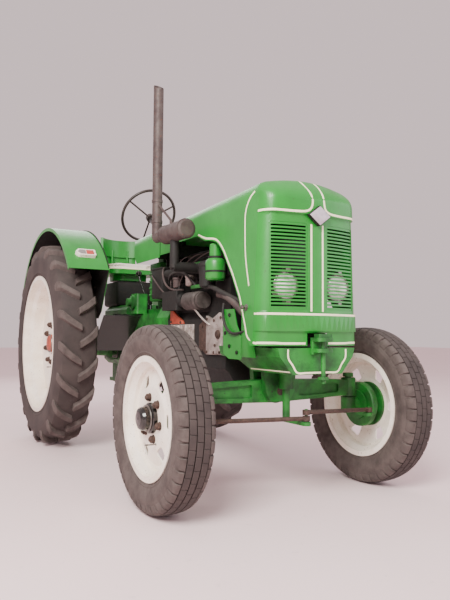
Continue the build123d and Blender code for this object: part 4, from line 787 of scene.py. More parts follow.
def dress(
    piece: Piece,
    body: str,
    slot: str,
    finish: Finish | LampGlass | None,
    name: str | None = None,
) -> Piece:
    """Give a piece its name and finish, and let it ride on a CAD body.

    Args:
        piece: The finished mesh, in place.
        body: The CAD body it moves with.
        slot: The record's material slot; not used.
        finish: What its surface is made of, or None where its faces have their finishes already.
        name: A new name, if it gets one.

    Returns:
        The same piece.
    """
    if name:
        piece.name = name
    if finish:
        piece.data.materials.clear()
        piece.data.materials.append(PAINTS.get(finish))
    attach(piece, body)
    LOG.info("piece %s on %s, %d faces", piece.name, body, len(piece.data.polygons))
    return piece


def paint_node(node: str, finish: Finish | LampGlass) -> None:
    """Give a CAD node its finish.

    Args:
        node: The node's name.
        finish: Its finish.
    """
    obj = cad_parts[node]
    obj.data.materials.clear()
    obj.data.materials.append(PAINTS.get(finish))


def paint_faces(
    node: str, finish: Finish | LampGlass, chosen: Callable[[Vector, Vector], bool]
) -> None:
    """Give some faces of a CAD node another finish, chosen by their middle and normal.

    Args:
        node: The node's name.
        finish: The other finish.
        chosen: Says from a face's middle and normal whether it gets it.
    """
    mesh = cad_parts[node].data
    mesh.materials.append(PAINTS.get(finish))
    index = len(mesh.materials) - 1
    for face in mesh.polygons:
        if chosen(face.center, face.normal):
            face.material_index = index


class Side(Enum):
    """The tractor's two sides, from the driver's seat."""

    RIGHT = -1
    LEFT = 1

    @property
    def word(self) -> str:
        """The side's name in the model."""
        return self.name.lower()


class Axle(Enum):
    """The tractor's two axles."""

    FRONT = "front"
    REAR = "rear"


# Running gear

FRONT_AXLE_Y = -1214.0
FRONT_AXLE_Z = 450.0
REAR_AXLE_Y = 894.0
REAR_AXLE_Z = 770.0
NOSE_Y = -1609.0


def on_ring(x: float, radius: float, degrees: float) -> Vector:
    """A place on a wheel whose axis is X: 0 degrees is up, 90 is forwards; sizes in millimetres."""
    angle = math.radians(degrees)
    return mm(x, -radius * math.sin(angle), radius * math.cos(angle))


def coated(part: Piece, finish: Finish) -> Piece:
    """Give one part of a piece its finish before the parts are joined."""
    part.data.materials.append(PAINTS.get(finish))
    return part


def tyre_section(wall: Profile, crown: float) -> Profile:
    """The closed outline of a tyre from its right wall and its radius in the middle."""
    return [*wall, (0, crown), *[(-x, radius) for x, radius in reversed(wall)], wall[0]]


def round_wheel(part: Piece, count: int, first: float = 0.0) -> Piece:
    """Replace a part by copies spread evenly round the X axis, the first at some degrees."""
    return repeated(part, [turned(Vector(), "X", first + 360 / count * i) for i in range(count)])


def fit_tyres(axle: Axle, parts: Sequence[Piece], hub: Vector) -> None:
    """Join a tyre's parts and put one copy on each wheel of an axle.

    Args:
        axle: The axle.
        parts: The tyre's parts, about the world's origin.
        hub: The left wheel's middle, in metres.
    """
    tyre = joined(f"{axle.value}_tyre_rubber", parts)
    for side in Side:
        piece = twin(tyre, Matrix.Translation(Vector((side.value * hub.x, hub.y, hub.z))))
        end, word = axle.value, side.word
        dress(piece, f"{end}_wheel_{word}", "tyre_rubber", None, f"{end}_rubber_{word}")
        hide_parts(f"{end}_tyre_{word}")
    bpy.data.objects.remove(tyre)


@dataclass
class RearTyre:
    """Field tyre with slanting lugs that meet in a V at the tread's middle; sizes in millimetres."""

    radius: float = REAR_AXLE_Z
    centre_x: float = 650.0
    lugs_a_side: int = 20
    steps: int = 120
    lead: Profile = ((0, 21), (3.2, 25), (6.9, 29), (8.4, 29), (9.0, 22))
    tread_top: Profile = ((-7, -1.5), (60, -5), (116, -15), (134, -50), (139, -92))
    tread_base: Profile = ((-7, -38), (60, -42), (112, -55), (126, -80), (129, -112))

    def carcass(self) -> Piece:
        """The round body of the tyre, with moulded rings on its walls.

        Returns:
            The body, about the world's origin.
        """
        r = self.radius
        wall = [
            (125, 504), (125.5, 530), (133, 545), (137, 546), (139, 552), (137, 556), (140, 580),
            (143.5, 612), (143.8, 640), (143, 644), (143.4, 650), (141, 664), (137, 676),
            (132, r - 86), (125, r - 68), (114, r - 52), (88, r - 43), (45, r - 37),
        ]
        return lathe("rear_carcass", Vector(), X_AXIS, tyre_section(wall, r - 35), self.steps, 30)

    def lug(self, hand: int) -> Piece:
        """One lug, from the tread's middle over the shoulder down the wall.

        Args:
            hand: 1 for the left half of the tread, -1 for the right.

        Returns:
            The lug, at the foot of the wheel.
        """

        def place(share: float, across: float, height: float) -> Vector:
            """A place on the lug, its foot wider than its top.

            Args:
                share: 0 to 1 from the tread's middle outwards.
                across: -0.5 to 0.5 over its width.
                height: 1 on its top, 0 at its foot.

            Returns:
                The place, in metres.
            """
            x, drop = along(self.tread_top if height else self.tread_base, share)
            lead, half = along(self.lead, share)
            width = half if height else half + 6
            radius = self.radius + drop
            return on_ring(hand * x, radius, 180 - lead + math.degrees(2 * across * width / radius))

        return slab("rear_lug", (8, 2), place, 3.0)

    def build(self) -> None:
        """Make both rear tyres and put them on their wheels."""
        # the carcass gets the dark shaded copy and the lugs the pale lit copy of one rubber: painted shade
        # and painted light
        parts = [coated(self.carcass(), RUBBER_PAINTED_SHADE)]
        for hand, first in ((1, 0.0), (-1, 180 / self.lugs_a_side)):
            parts.append(coated(round_wheel(self.lug(hand), self.lugs_a_side, first), RUBBER_PAINTED_LIGHT))
        fit_tyres(Axle.REAR, parts, mm(self.centre_x, REAR_AXLE_Y, self.radius))


@dataclass
class FrontTyre:
    """Steering tyre with rows of brick-like blocks; sizes in millimetres."""

    radius: float = FRONT_AXLE_Z
    centre_x: float = 665.0
    pitches: int = 43
    steps: int = 96
    rows: tuple[tuple[float, float, float], ...] = ((0, 14.5, 0.0), (-35, 15, 0.5), (35, 15, 0.5))
    block_length: float = 62.5
    shoulder_length: float = 57.0
    shoulder_top: Profile = ((55, -5.5), (70, -9.5), (79, -18), (84, -34), (86, -50))
    shoulder_base: Profile = ((53, -16), (68, -18), (76, -25), (81, -38), (84, -54))

    def crown(self, x: float) -> float:
        """Radius of the block tops at a distance from the middle."""
        return self.radius - 1 - 7.5 * (x / 75) ** 2

    def carcass(self) -> Piece:
        """The round body of the tyre, with moulded rings on its walls.

        Returns:
            The body, about the world's origin.
        """
        r = self.radius
        wall = [
            (63, 277), (63.5, 303), (70, 313), (73, 313.5), (74, 317), (73, 320), (80, 336),
            (86, 356), (89, 372), (89.6, 378), (88.4, 381), (88.6, 388), (86, 396), (82, r - 44),
            (77, r - 28), (68, r - 20), (50, r - 15), (25, r - 12.5),
        ]
        return lathe("front_carcass", Vector(), X_AXIS, tyre_section(wall, r - 12), self.steps, 30)

    def block(self, middle: float, half: float) -> Piece:
        """One block of an inner row, at the top of the wheel.

        Args:
            middle: X of the row's middle.
            half: Half the block's width.

        Returns:
            The block.
        """

        def place(share: float, across: float, height: float) -> Vector:
            """A place on the block, its foot wider than its top.

            Args:
                share: 0 to 1 across the row.
                across: -0.5 to 0.5 along the tread.
                height: 1 on its top, 0 at its foot.

            Returns:
                The place, in metres.
            """
            x = middle + (2 * share - 1) * (half if height else half + 1)
            length = self.block_length if height else self.block_length + 4
            radius = self.crown(x) if height else self.radius - 17
            bow = 0.12 * (x - middle)
            return on_ring(x, radius, math.degrees((across * length + bow) / radius))

        return slab("front_block", (2, 2), place, 1.6)

    def shoulder(self, hand: int) -> Piece:
        """One block of an outer row, wrapped over the shoulder.

        Args:
            hand: 1 for the left shoulder, -1 for the right.

        Returns:
            The block, at the top of the wheel.
        """

        def place(share: float, across: float, height: float) -> Vector:
            """A place on the block, which narrows down the wall.

            Args:
                share: 0 to 1 from the tread down the wall.
                across: -0.5 to 0.5 along the tread.
                height: 1 on its top, 0 at its foot.

            Returns:
                The place, in metres.
            """
            x, drop = along(self.shoulder_top if height else self.shoulder_base, share)
            length = self.shoulder_length * (1 - 0.25 * share) + (0 if height else 4)
            radius = self.radius + drop
            return on_ring(hand * x, radius, math.degrees(across * length / radius))

        return slab("front_shoulder", (6, 2), place, 1.6)

    def build(self) -> None:
        """Make both front tyres and put them on their wheels."""
        # the walls and shoulders get the pale lit copy and the inner rows the dark shaded copy of one
        # rubber: painted light and painted shade
        parts = [coated(self.carcass(), RUBBER_PAINTED_LIGHT)]
        for middle, half, shift in self.rows:
            row = round_wheel(self.block(middle, half), self.pitches, 360 / self.pitches * shift)
            parts.append(coated(row, RUBBER_PAINTED_SHADE))
        for hand in (1, -1):
            parts.append(coated(round_wheel(self.shoulder(hand), self.pitches), RUBBER_PAINTED_LIGHT))
        fit_tyres(Axle.FRONT, parts, mm(self.centre_x, FRONT_AXLE_Y, self.radius))


@dataclass
class WheelHardware:
    """Nuts, valve and cap ring of one pair of wheels; sizes in millimetres."""

    axle: Axle
    centre_x: float
    axle_y: float
    height: float
    face: float
    nut_ring: float
    nuts: int
    nut_radius: float
    valve_ring: float
    cap_radius: float
    cap_face: float
    valve_turn: float = 25.0

    def nut(self) -> Piece:
        """One domed wheel nut on its washer, on the left wheel's face.

        Returns:
            The nut, straight above the wheel's middle.
        """
        spot = mm(self.centre_x + self.face, self.axle_y, self.height + self.nut_ring)
        r = self.nut_radius
        disc = [(-1, 0), (-1, r * 1.3), (2.5, r * 1.3), (3.5, r), (3.5, 0)]
        washer = lathe("washer", spot, X_AXIS, disc, 20)
        flats = [(2, 0), (2, r * 1.1), (r * 1.1, r * 1.1), (r * 1.1, 0)]
        head = lathe("head", spot, X_AXIS, flats, 6, 20)
        dome = [(r, 0), (r, r * 0.85), (r * 1.35, r * 0.75), (r * 1.6, r * 0.45), (r * 1.7, 0)]
        return joined(f"{self.axle.value}_nuts", [washer, head, lathe("dome", spot, X_AXIS, dome, 16)])

    def valve(self) -> Piece:
        """The valve stem with its cap, standing out of the disc below the nuts.

        Returns:
            The valve, straight below the wheel's middle.
        """
        start = mm(self.centre_x + self.face - 4, self.axle_y, self.height - self.valve_ring)
        stem = [(0, 0), (0, 7), (5, 6), (8, 3.2), (44, 3.2), (44, 4.6), (58, 4.6), (61, 3), (61, 0)]
        return lathe(f"{self.axle.value}_valve", start, X_AXIS, stem, 14)

    def cap_ring(self) -> Piece:
        """The pressed bead round the hub cap's foot.

        Returns:
            The ring, in place.
        """
        spot = mm(self.centre_x + self.cap_face, self.axle_y, self.height)
        r = self.cap_radius
        bead = [(0, r - 2), (0, r + 5), (2, r + 7), (5, r + 6), (6, r + 2), (6, r - 2), (0, r - 2)]
        return lathe(f"{self.axle.value}_cap_ring", spot, X_AXIS, bead, 40)

    def build(self) -> None:
        """Make the hardware for the left wheel and turn a copy round for the right one."""
        centre = mm(self.centre_x, self.axle_y, self.height)
        turns = [turned(centre, "X", 360 * i / self.nuts + 15) for i in range(self.nuts)]
        pieces = (
            (repeated(self.nut(), turns), "steel", RUSTED_STEEL),
            (repeated(self.valve(), [turned(centre, "X", self.valve_turn)]), "steel", BARE_STEEL),
            (self.cap_ring(), "steel", BARE_STEEL),
        )
        across = turned(Vector((0, self.axle_y * MM, 0)), "Z", 180)
        for piece, slot, finish in pieces:
            base = piece.name
            right = twin(piece, across)
            dress(piece, f"{self.axle.value}_wheel_left", slot, finish, f"{base}_left")
            dress(right, f"{self.axle.value}_wheel_right", slot, finish, f"{base}_right")


# Hood, nose and lamps


class Skin:
    """The outer surface of one object, asked by rays; places in metres."""

    def __init__(self, obj: Piece) -> None:
        """Read the object's mesh.

        Args:
            obj: The object.
        """
        mesh = obj.data
        corners = [v.co.copy() for v in mesh.vertices]
        self._tree = BVHTree.FromPolygons(corners, [tuple(p.vertices) for p in mesh.polygons])

    def hit(self, start: Vector, aim: Vector) -> tuple[Vector, Vector]:
        """Where a ray first meets the surface, with the normal turned against the ray.

        Args:
            start: Where the ray starts.
            aim: Its direction.

        Returns:
            The place and its normal.
        """
        spot, normal, _, _ = self._tree.ray_cast(start, aim.normalized())
        if spot is None:
            raise ValueError(f"no surface from {tuple(start)} towards {tuple(aim)}")
        return spot, normal if normal.dot(aim) < 0 else -normal

    def nose(self, x: float, z: float) -> tuple[Vector, Vector]:
        """The place on the nose at X and Z, in millimetres."""
        return self.hit(mm(x, NOSE_Y - 200, z), Y_AXIS)

    def flank(self, hand: int, y: float, z: float) -> tuple[Vector, Vector]:
        """The place on one side at Y and Z, in millimetres; hand is the sign of X."""
        return self.hit(mm(hand * 600, y, z), Vector((-hand, 0, 0)))

    def roof(self, x: float, y: float) -> tuple[Vector, Vector]:
        """The place on the top at X and Y, in millimetres."""
        return self.hit(mm(x, y, 1900), -Z_AXIS)

    def around(self, hand: int, z: float, degrees: float) -> tuple[Vector, Vector]:
        """The place on the nose's rounded corner; 0 degrees looks from ahead, 90 from the side.

        Args:
            hand: The sign of X on its side.
            z: Height in millimetres.
            degrees: Where it looks from.

        Returns:
            The place and its normal.
        """
        angle = math.radians(degrees)
        aim = Vector((-hand * math.sin(angle), math.cos(angle), 0))
        return self.hit(mm(hand * 225, NOSE_Y + 120, z) - aim * 0.5, aim)

    def dome(self, x: float, degrees: float) -> tuple[Vector, Vector]:
        """The place where the nose rounds into the top; 0 degrees looks from ahead, 90 from above.

        Args:
            x: X in millimetres.
            degrees: Where it looks from.

        Returns:
            The place and its normal.
        """
        angle = math.radians(degrees)
        aim = Vector((0, math.cos(angle), -math.sin(angle)))
        return self.hit(mm(x, NOSE_Y + 190, 1520) - aim * 0.5, aim)


def smooth_run(
    places: Sequence[tuple[Vector, Vector]], spacing: float
) -> list[tuple[Vector, Vector]]:
    """Round a run of surface places with a Catmull-Rom line.

    Args:
        places: (place, normal) pairs in order.
        spacing: Wanted distance between the new places, in millimetres.

    Returns:
        More (place, normal) pairs, evenly close.
    """
    spots = [places[0][0], *[p for p, _ in places], places[-1][0]]
    normals = [n for _, n in places]
    run = []
    for i in range(len(places) - 1):
        a, b, c, d = spots[i : i + 4]
        count = max(2, int((c - b).length / (spacing * MM)))
        for step in range(count):
            t = step / count
            place = 0.5 * (
                2 * b + (c - a) * t + (2 * a - 5 * b + 4 * c - d) * t**2 + (3 * b - a - 3 * c + d) * t**3
            )
            run.append((place, normals[i].lerp(normals[i + 1], t).normalized()))
    return [*run, places[-1]]


def lining(
    name: str, places: Sequence[tuple[Vector, Vector]], width: float, height: float = 1.0
) -> Piece:
    """A painted line with a little body, laid on a surface.

    Args:
        name: Name of the piece.
        places: (place, normal) pairs along it.
        width: Its width in millimetres.
        height: How far its middle stands out, in millimetres.

    Returns:
        The line, in place.
    """
    run = smooth_run(places, 9.0)
    last = len(run) - 1

    def place(share: float, across: float, level: float) -> Vector:
        """A place on the line, which is highest along its middle.

        Args:
            share: 0 to 1 along the line.
            across: -0.5 to 0.5 over its width.
            level: 1 on its top, 0 on its underside.

        Returns:
            The place, in metres.
        """
        index = round(share * last)
        spot, normal = run[index]
        ahead = (run[min(index + 1, last)][0] - run[max(index - 1, 0)][0]).normalized()
        sideways = normal.cross(ahead).normalized()
        rise = height * (1 - 3.2 * across**2) if level else -0.8
        return spot + (sideways * across * width + normal * rise) * MM

    return slab(name, (last, 4), place, 0.0)


@dataclass
class HoodSheet:
    """The hood's pressed sheet with its domed brow and swept lower edge; sizes in millimetres."""

    trim: Profile = (
        (-960, 1372), (-1030, 1364), (-1075, 1350), (-1112, 1326), (-1155, 1285), (-1262, 1152),
        (-1344, 1030), (-1412, 880), (-1436, 834), (-1475, 802), (-1475, 780), (-1200, 780), (-900, 1300),
    )
    brow_low: float = 1505.0
    brow_high: float = 1625.0
    brow_push: float = 62.0
    brow_reach: float = 420.0
    levels: int = 9

    def lean_back(self, sheet: Piece) -> None:
        """Round the nose's top back into the hood, as a pressed brow.

        Args:
            sheet: The hood's sheet.
        """
        edit(sheet)
        for level in range(self.levels):
            z = self.brow_low + (self.brow_high - self.brow_low) * level / (self.levels - 1)
            bpy.ops.mesh.select_all(action="SELECT")
            bpy.ops.mesh.bisect(plane_co=mm(0, 0, z), plane_no=(0, 0, 1))
        for level in range(1, self.levels):
            y = NOSE_Y + self.brow_reach * level / self.levels
            bpy.ops.mesh.select_all(action="SELECT")
            bpy.ops.mesh.bisect(plane_co=mm(0, y, 0), plane_no=(0, 1, 0))
        bpy.ops.object.mode_set(mode="OBJECT")
        for vertex in sheet.data.vertices:
            high = (vertex.co.z / MM - self.brow_low) / (self.brow_high - self.brow_low)
            back = (vertex.co.y / MM - NOSE_Y) / self.brow_reach
            if high > 0 and back < 1:
                rise = min(high, 1.0) ** 2 * (3 - 2 * min(high, 1.0))
                fade = 1 - max(back, 0.0) ** 2 * (3 - 2 * max(back, 0.0))
                vertex.co.y += self.brow_push * MM * rise * fade

    def build(self) -> Piece:
        """Copy the CAD sheet, trim it, round its brow and put it in the node's place.

        Returns:
            The finished sheet.
        """
        sheet = merged_copy("hood", "hood_sheet")
        outline = [mm(-400, y, z) for y, z in self.trim]
        cutter = plate("hood_cutter", outline, mm(800, 0, 0), 0)
        modified(sheet, "BOOLEAN", object=cutter, operation="DIFFERENCE", solver="EXACT")
        bpy.data.objects.remove(cutter)
        self.lean_back(sheet)
        edit(sheet)
        bpy.ops.mesh.remove_doubles(threshold=WELD)
        bpy.ops.object.mode_set(mode="OBJECT")
        bpy.ops.object.shade_smooth_by_angle(angle=math.radians(30))
        modified(sheet, "WEIGHTED_NORMAL", keep_sharp=True, weight=60)
        dress(sheet, "hood", "green_paint", GREEN_ENAMEL)
        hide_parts("hood")
        return sheet


@dataclass
class HoodTrim:
    """Painted lines, nose badge, latches and the rear seam's strip; sizes in millimetres."""

    sheet: Piece
    line_width: float = 10.5
    band_half: float = 35.0
    edge_gap: float = 13.0
    badge_half_width: float = 68.0
    badge_half_height: float = 51.0
    badge_z: float = 1434.0
    badge_depth: float = 20.0

    def __post_init__(self) -> None:
        """Read the hood's surface."""
        self.hood = Skin(self.sheet)

    def crown_line(self, hand: int) -> Piece:
        """The line from the hood's rear over the brow, rounding out along the visor to the flank.

        Args:
            hand: The sign of X on its side.

        Returns:
            The line, in place.
        """
        on = self.hood
        run = [on.roof(hand * 52, y) for y in (-290, -600, -900, -1200, -1380)]
        run += [on.dome(hand * 44, angle) for angle in (75, 60, 45, 30)]
        run += [on.nose(hand * x, z) for x, z in ((39, 1560), (36, 1535), (35, 1505), (39, 1480))]
        run += [on.nose(hand * x, z) for x, z in ((52, 1461), (80, 1451), (130, 1448), (190, 1448))]
        run += [on.around(hand, 1449, angle) for angle in (5, 20, 35, 50, 65, 80)]
        return lining(f"crown_line_{hand}", run, self.line_width)

    def flank_line(self, hand: int) -> Piece:
        """The curved line down the hood's side behind the corner.

        Args:
            hand: The sign of X on its side.

        Returns:
            The line, in place.
        """
        spots = (
            (-1462, 1553), (-1427, 1534), (-1400, 1506), (-1383, 1472), (-1378, 1431), (-1385, 1337),
            (-1396, 1244), (-1417, 1164), (-1441, 1089),
        )
        run = [self.hood.flank(hand, y, z) for y, z in spots]
        return lining(f"flank_line_{hand}", run, self.line_width)

    def band_line(self, hand: int) -> Piece:
        """The upright line beside the nose's middle band."""
        run = [self.hood.nose(hand * self.band_half, z) for z in (1392, 1250, 1110, 966)]
        return lining(f"band_line_{hand}", run, self.line_width)

    def under_line(self) -> Piece:
        """The line across the nose under the grille, on the proud band's upper edge.

        Returns:
            The line, in place.
        """
        run = [self.hood.around(-1, 952, angle) for angle in (80, 65, 50, 35, 20, 5)]
        run += [self.hood.nose(x, 952) for x in (-190, -120, -60, 0, 60, 120, 190)]
        run += [self.hood.around(1, 952, angle) for angle in (5, 20, 35, 50, 65, 80)]
        return lining("under_grille_line", run, self.line_width)

    def edge_line(self, hand: int) -> Piece:
        """The line along the side's lower edge, round the corner and along the apron to the notch.

        Args:
            hand: The sign of X on its side.

        Returns:
            The line, in place.
        """
        on = self.hood
        edge = (
            (-810, 1418), (-840, 1412), (-900, 1390), (-950, 1376), (-1030, 1364), (-1075, 1350),
            (-1112, 1326), (-1155, 1285), (-1208, 1219), (-1262, 1152), (-1303, 1091), (-1344, 1030),
            (-1378, 955), (-1412, 880), (-1436, 834), (-1475, 802),
        )
        run = []
        for before, spot, after in zip(edge, edge[1:], edge[2:]):
            ahead = Vector((after[0] - before[0], after[1] - before[1])).normalized()
            y = spot[0] + ahead.y * self.edge_gap
            run.append(on.flank(hand, y, spot[1] - ahead.x * self.edge_gap))
        run += [on.around(hand, 814, angle) for angle in (80, 65, 50, 35, 20, 5)]
        run += [on.nose(hand * x, 812) for x in (190, 130, 70)]
        return lining(f"edge_line_{hand}", run, self.line_width)

    def badge(self) -> Piece:
        """The blank diamond plate on the visor's middle, thick, with a raised pale face.

        Returns:
            The plate, in place.
        """
        deep = mm(0, self.badge_depth, 0)
        steps = ((1.0, 0, SOOTY_BLACK_AND_SHADE), (0.92, 3, BADGE_METAL), (0.74, 4.5, BADGE_METAL))
        pieces = []
        for share, ahead, finish in steps:
            wide, high = self.badge_half_width * share, self.badge_half_height * share
            middle = mm(0, NOSE_Y - self.badge_depth + 8 - ahead, self.badge_z)
            outline = [middle + mm(x, 0, z) for x, z in ((0, high), (wide, 0), (0, -high), (-wide, 0))]
            pieces.append(coated(plate("nose_badge", outline, deep, 1.6), finish))
        return joined("nose_badge", pieces)

    def latch(self, hand: int) -> Piece:
        """A turned knob with its plate low on the hood's side.

        Args:
            hand: The sign of X on its side.

        Returns:
            The latch, in place.
        """
        spot, normal = self.hood.flank(hand, -1425, 985)
        foot = lathe("latch_plate", spot, normal, [(-1, 0), (-1, 17), (2, 17), (3, 15), (3, 0)], 28)
        stem = [(2, 0), (2, 7), (10, 6), (14, 9), (22, 12), (27, 11), (30, 7), (31, 0)]
        return joined(f"hood_latch_{hand}", [foot, lathe("latch_knob", spot, normal, stem, 28)])

    def seam_bead(self) -> Piece:
        """The rubber strip where the hood meets the tank cowl.

        Returns:
            The strip, in place.
        """
        run = [self.hood.roof(x, -272) for x in (-180, -90, 0, 90, 180)]
        left = [self.hood.flank(-1, -272, z) for z in (1378, 1440, 1500)]
        right = [self.hood.flank(1, -272, z) for z in (1500, 1440, 1378)]
        return lining("hood_seam_strip", [*left, *run, *right], 6.0, 1.6)

    def build(self) -> None:
        """Make all the trim."""
        for hand in (-1, 1):
            side = Side(hand).word
            for part in (self.crown_line, self.flank_line, self.band_line, self.edge_line):
                line = part(hand)
                dress(line, "hood", "cream_paint", CREAM_LINING, f"{part.__name__}_{side}")
            dress(self.latch(hand), "hood", "steel", BARE_STEEL, f"hood_latch_{side}")
        dress(self.under_line(), "hood", "cream_paint", CREAM_LINING)
        dress(self.seam_bead(), "hood", "black_plastic", HOSE_RUBBER)
        dress(self.badge(), "hood", "steel", None)


@dataclass
class BolsterLines:
    """Cream lining on the front bolster's face and lower edges; sizes in millimetres."""

    half_top: float = 176.0
    half_knee: float = 174.0
    half_foot: float = 122.0
    width: float = 9.0

    def build(self) -> None:
        """Draw the line round the front face and along each lower edge."""
        cast = Skin(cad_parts["front_bolster"])
        face = [(-self.half_top, 784), (-self.half_knee, 742), (-150, 710), (-self.half_foot, 673)]
        spots = [*face, (-70, 671), (0, 671), (70, 671), *[(-x, z) for x, z in reversed(face)]]
        line = lining("bolster_face_line", [cast.nose(x, z) for x, z in spots], self.width)
        dress(line, "chassis", "cream_paint", CREAM_LINING)
        for side in Side:
            run = [cast.flank(side.value, y, 676) for y in (-1594, -1520, -1440, -1360, -1300, -1250)]
            edge = lining(f"bolster_edge_line_{side.word}", run, self.width)
            dress(edge, "chassis", "cream_paint", CREAM_LINING)


@dataclass
class Headlamps:
    """Rims and domed lenses of the two lamps behind the grille; sizes in millimetres."""

    x: float = 160.0
    z: float = 1090.0
    face_y: float = -1557.0
    radius: float = 72.0

    def build(self) -> None:
        """Make a bright rim and a ribbed lens for each lamp."""
        for side in Side:
            spot = mm(side.value * self.x, self.face_y, self.z)
            r = self.radius
            rim = [
                (-1, r - 9), (-5, r - 7), (-6, r - 3), (-3, r + 0.5), (8, r + 0.8), (8, r - 1), (-1, r - 9),
            ]
            ring = lathe("lamp_rim", spot, Y_AXIS, rim, 64)
            dress(ring, "hood", "steel", BARE_STEEL, f"headlamp_rim_{side.word}")
            lens = [
                (-19, 0), (-17.5, r * 0.3), (-12, r * 0.62), (-5, r - 12), (-0.5, r - 8), (2, r - 8), (2, 0),
            ]
            # the headlamp lens is near-white and almost opaque: a painted reflection of the bright lamp bowl
            glass = lathe("lens", spot, Y_AXIS, lens, 64)
            dress(glass, "hood", "lamp_glass", GLASS_PAINTED_REFLECTION, f"headlamp_lens_{side.word}")


@dataclass
class FenderBeads:
    """The dark rolled bead along the inner edge of each rear fender; sizes in millimetres."""

    x: float = 452.0
    radius: float = 903.0
    first: int = 37
    last: int = 147

    def build(self) -> None:
        """Lay one bead along each fender."""
        for side in Side:
            run = []
            for angle in range(self.first, self.last + 1, 5):
                turn = math.radians(angle)
                y = REAR_AXLE_Y - self.radius * math.cos(turn)
                run.append(mm(side.value * self.x, y, REAR_AXLE_Z + self.radius * math.sin(turn)))
            bead = tube(f"fender_bead_{side.word}", run, 4.5)
            dress(bead, "chassis", "black_paint", SOOTY_BLACK_AND_SHADE)


@dataclass
class FenderLamps:
    """Lenses and screws on the fender lamps; sizes in millimetres."""

    x: float = 600.0
    fender_radius: float = 900.3
    angle: float = 45.0
    depth: float = 26.0

    def place(self, hand: int, outward: float, upward: float, height: float) -> Vector:
        """A place on a lamp, from its middle on the fender sheet.

        Args:
            hand: The sign of X on its side.
            outward: Away from the tractor's middle.
            upward: Up along the fender.
            height: Out from the fender.

        Returns:
            The place, in metres.
        """
        angle = math.radians(self.angle)
        out = Vector((0, -math.cos(angle), math.sin(angle)))
        up = Vector((0, math.sin(angle), math.cos(angle)))
        base = mm(hand * self.x, REAR_AXLE_Y, REAR_AXLE_Z) + out * self.fender_radius * MM
        return base + (Vector((hand, 0, 0)) * outward + up * upward + out * height) * MM

    def lens(self, hand: int, outline: Profile, name: str) -> Piece:
        """One half of the lens, domed by its bevel.

        Args:
            hand: The sign of X on its side.
            outline: Its corners as (outward, upward).
            name: Name of the piece.

        Returns:
            The half lens, in place.
        """
        corners = [self.place(hand, a, b, self.depth - 2) for a, b in outline]
        top = self.place(hand, 0, 0, 6) - self.place(hand, 0, 0, 0)
        return plate(name, corners, top, 2.5)

    def build(self) -> None:
        """Make the clear and red halves and the two screws of each lamp."""
        outer = ((2, -22), (44, -22), (60, 0), (44, 22), (2, 22))
        inner = ((-2, 22), (-56, 22), (-56, -22), (-2, -22))
        for side in Side:
            hand = side.value
            clear = self.lens(hand, outer, f"fender_lens_outer_{side.word}")
            dress(clear, "chassis", "lamp_glass", GREY_GLASS)
            red = self.lens(hand, inner, f"fender_lens_inner_{side.word}")
            dress(red, "chassis", "lamp_glass", RED_GLASS)
            screws = []
            for spot in (-63, 66):
                foot = self.place(hand, spot, 0, self.depth)
                axis = self.place(hand, 0, 0, 1) - self.place(hand, 0, 0, 0)
                screws.append(lathe("screw", foot, axis, [(-1, 0), (-1, 3), (1, 3), (2, 1.6), (2, 0)], 12))
            dress(joined(f"fender_lamp_screws_{side.word}", screws), "chassis", "steel", BARE_STEEL)


# Seat


def rounded_loop(half: tuple[float, float], corner: float, middle: Vector, steps: int) -> list[Vector]:
    """A closed level loop with rounded corners.

    Args:
        half: Half its width and half its depth, in millimetres.
        corner: Radius of its corners, in millimetres.
        middle: Its middle, in metres.
        steps: Places on each corner.

    Returns:
        The places in order, the first one again at the end.
    """
    w, d = half[0] - corner, half[1] - corner
    spots = []
    for a, b, turn in ((w, d, 0), (-w, d, 90), (-w, -d, 180), (w, -d, 270)):
        for step in range(steps):
            angle = math.radians(turn + 90 / (steps - 1) * step)
            spots.append(middle + mm(a + corner * math.cos(angle), b + corner * math.sin(angle), 0))
    return [*spots, spots[0]]


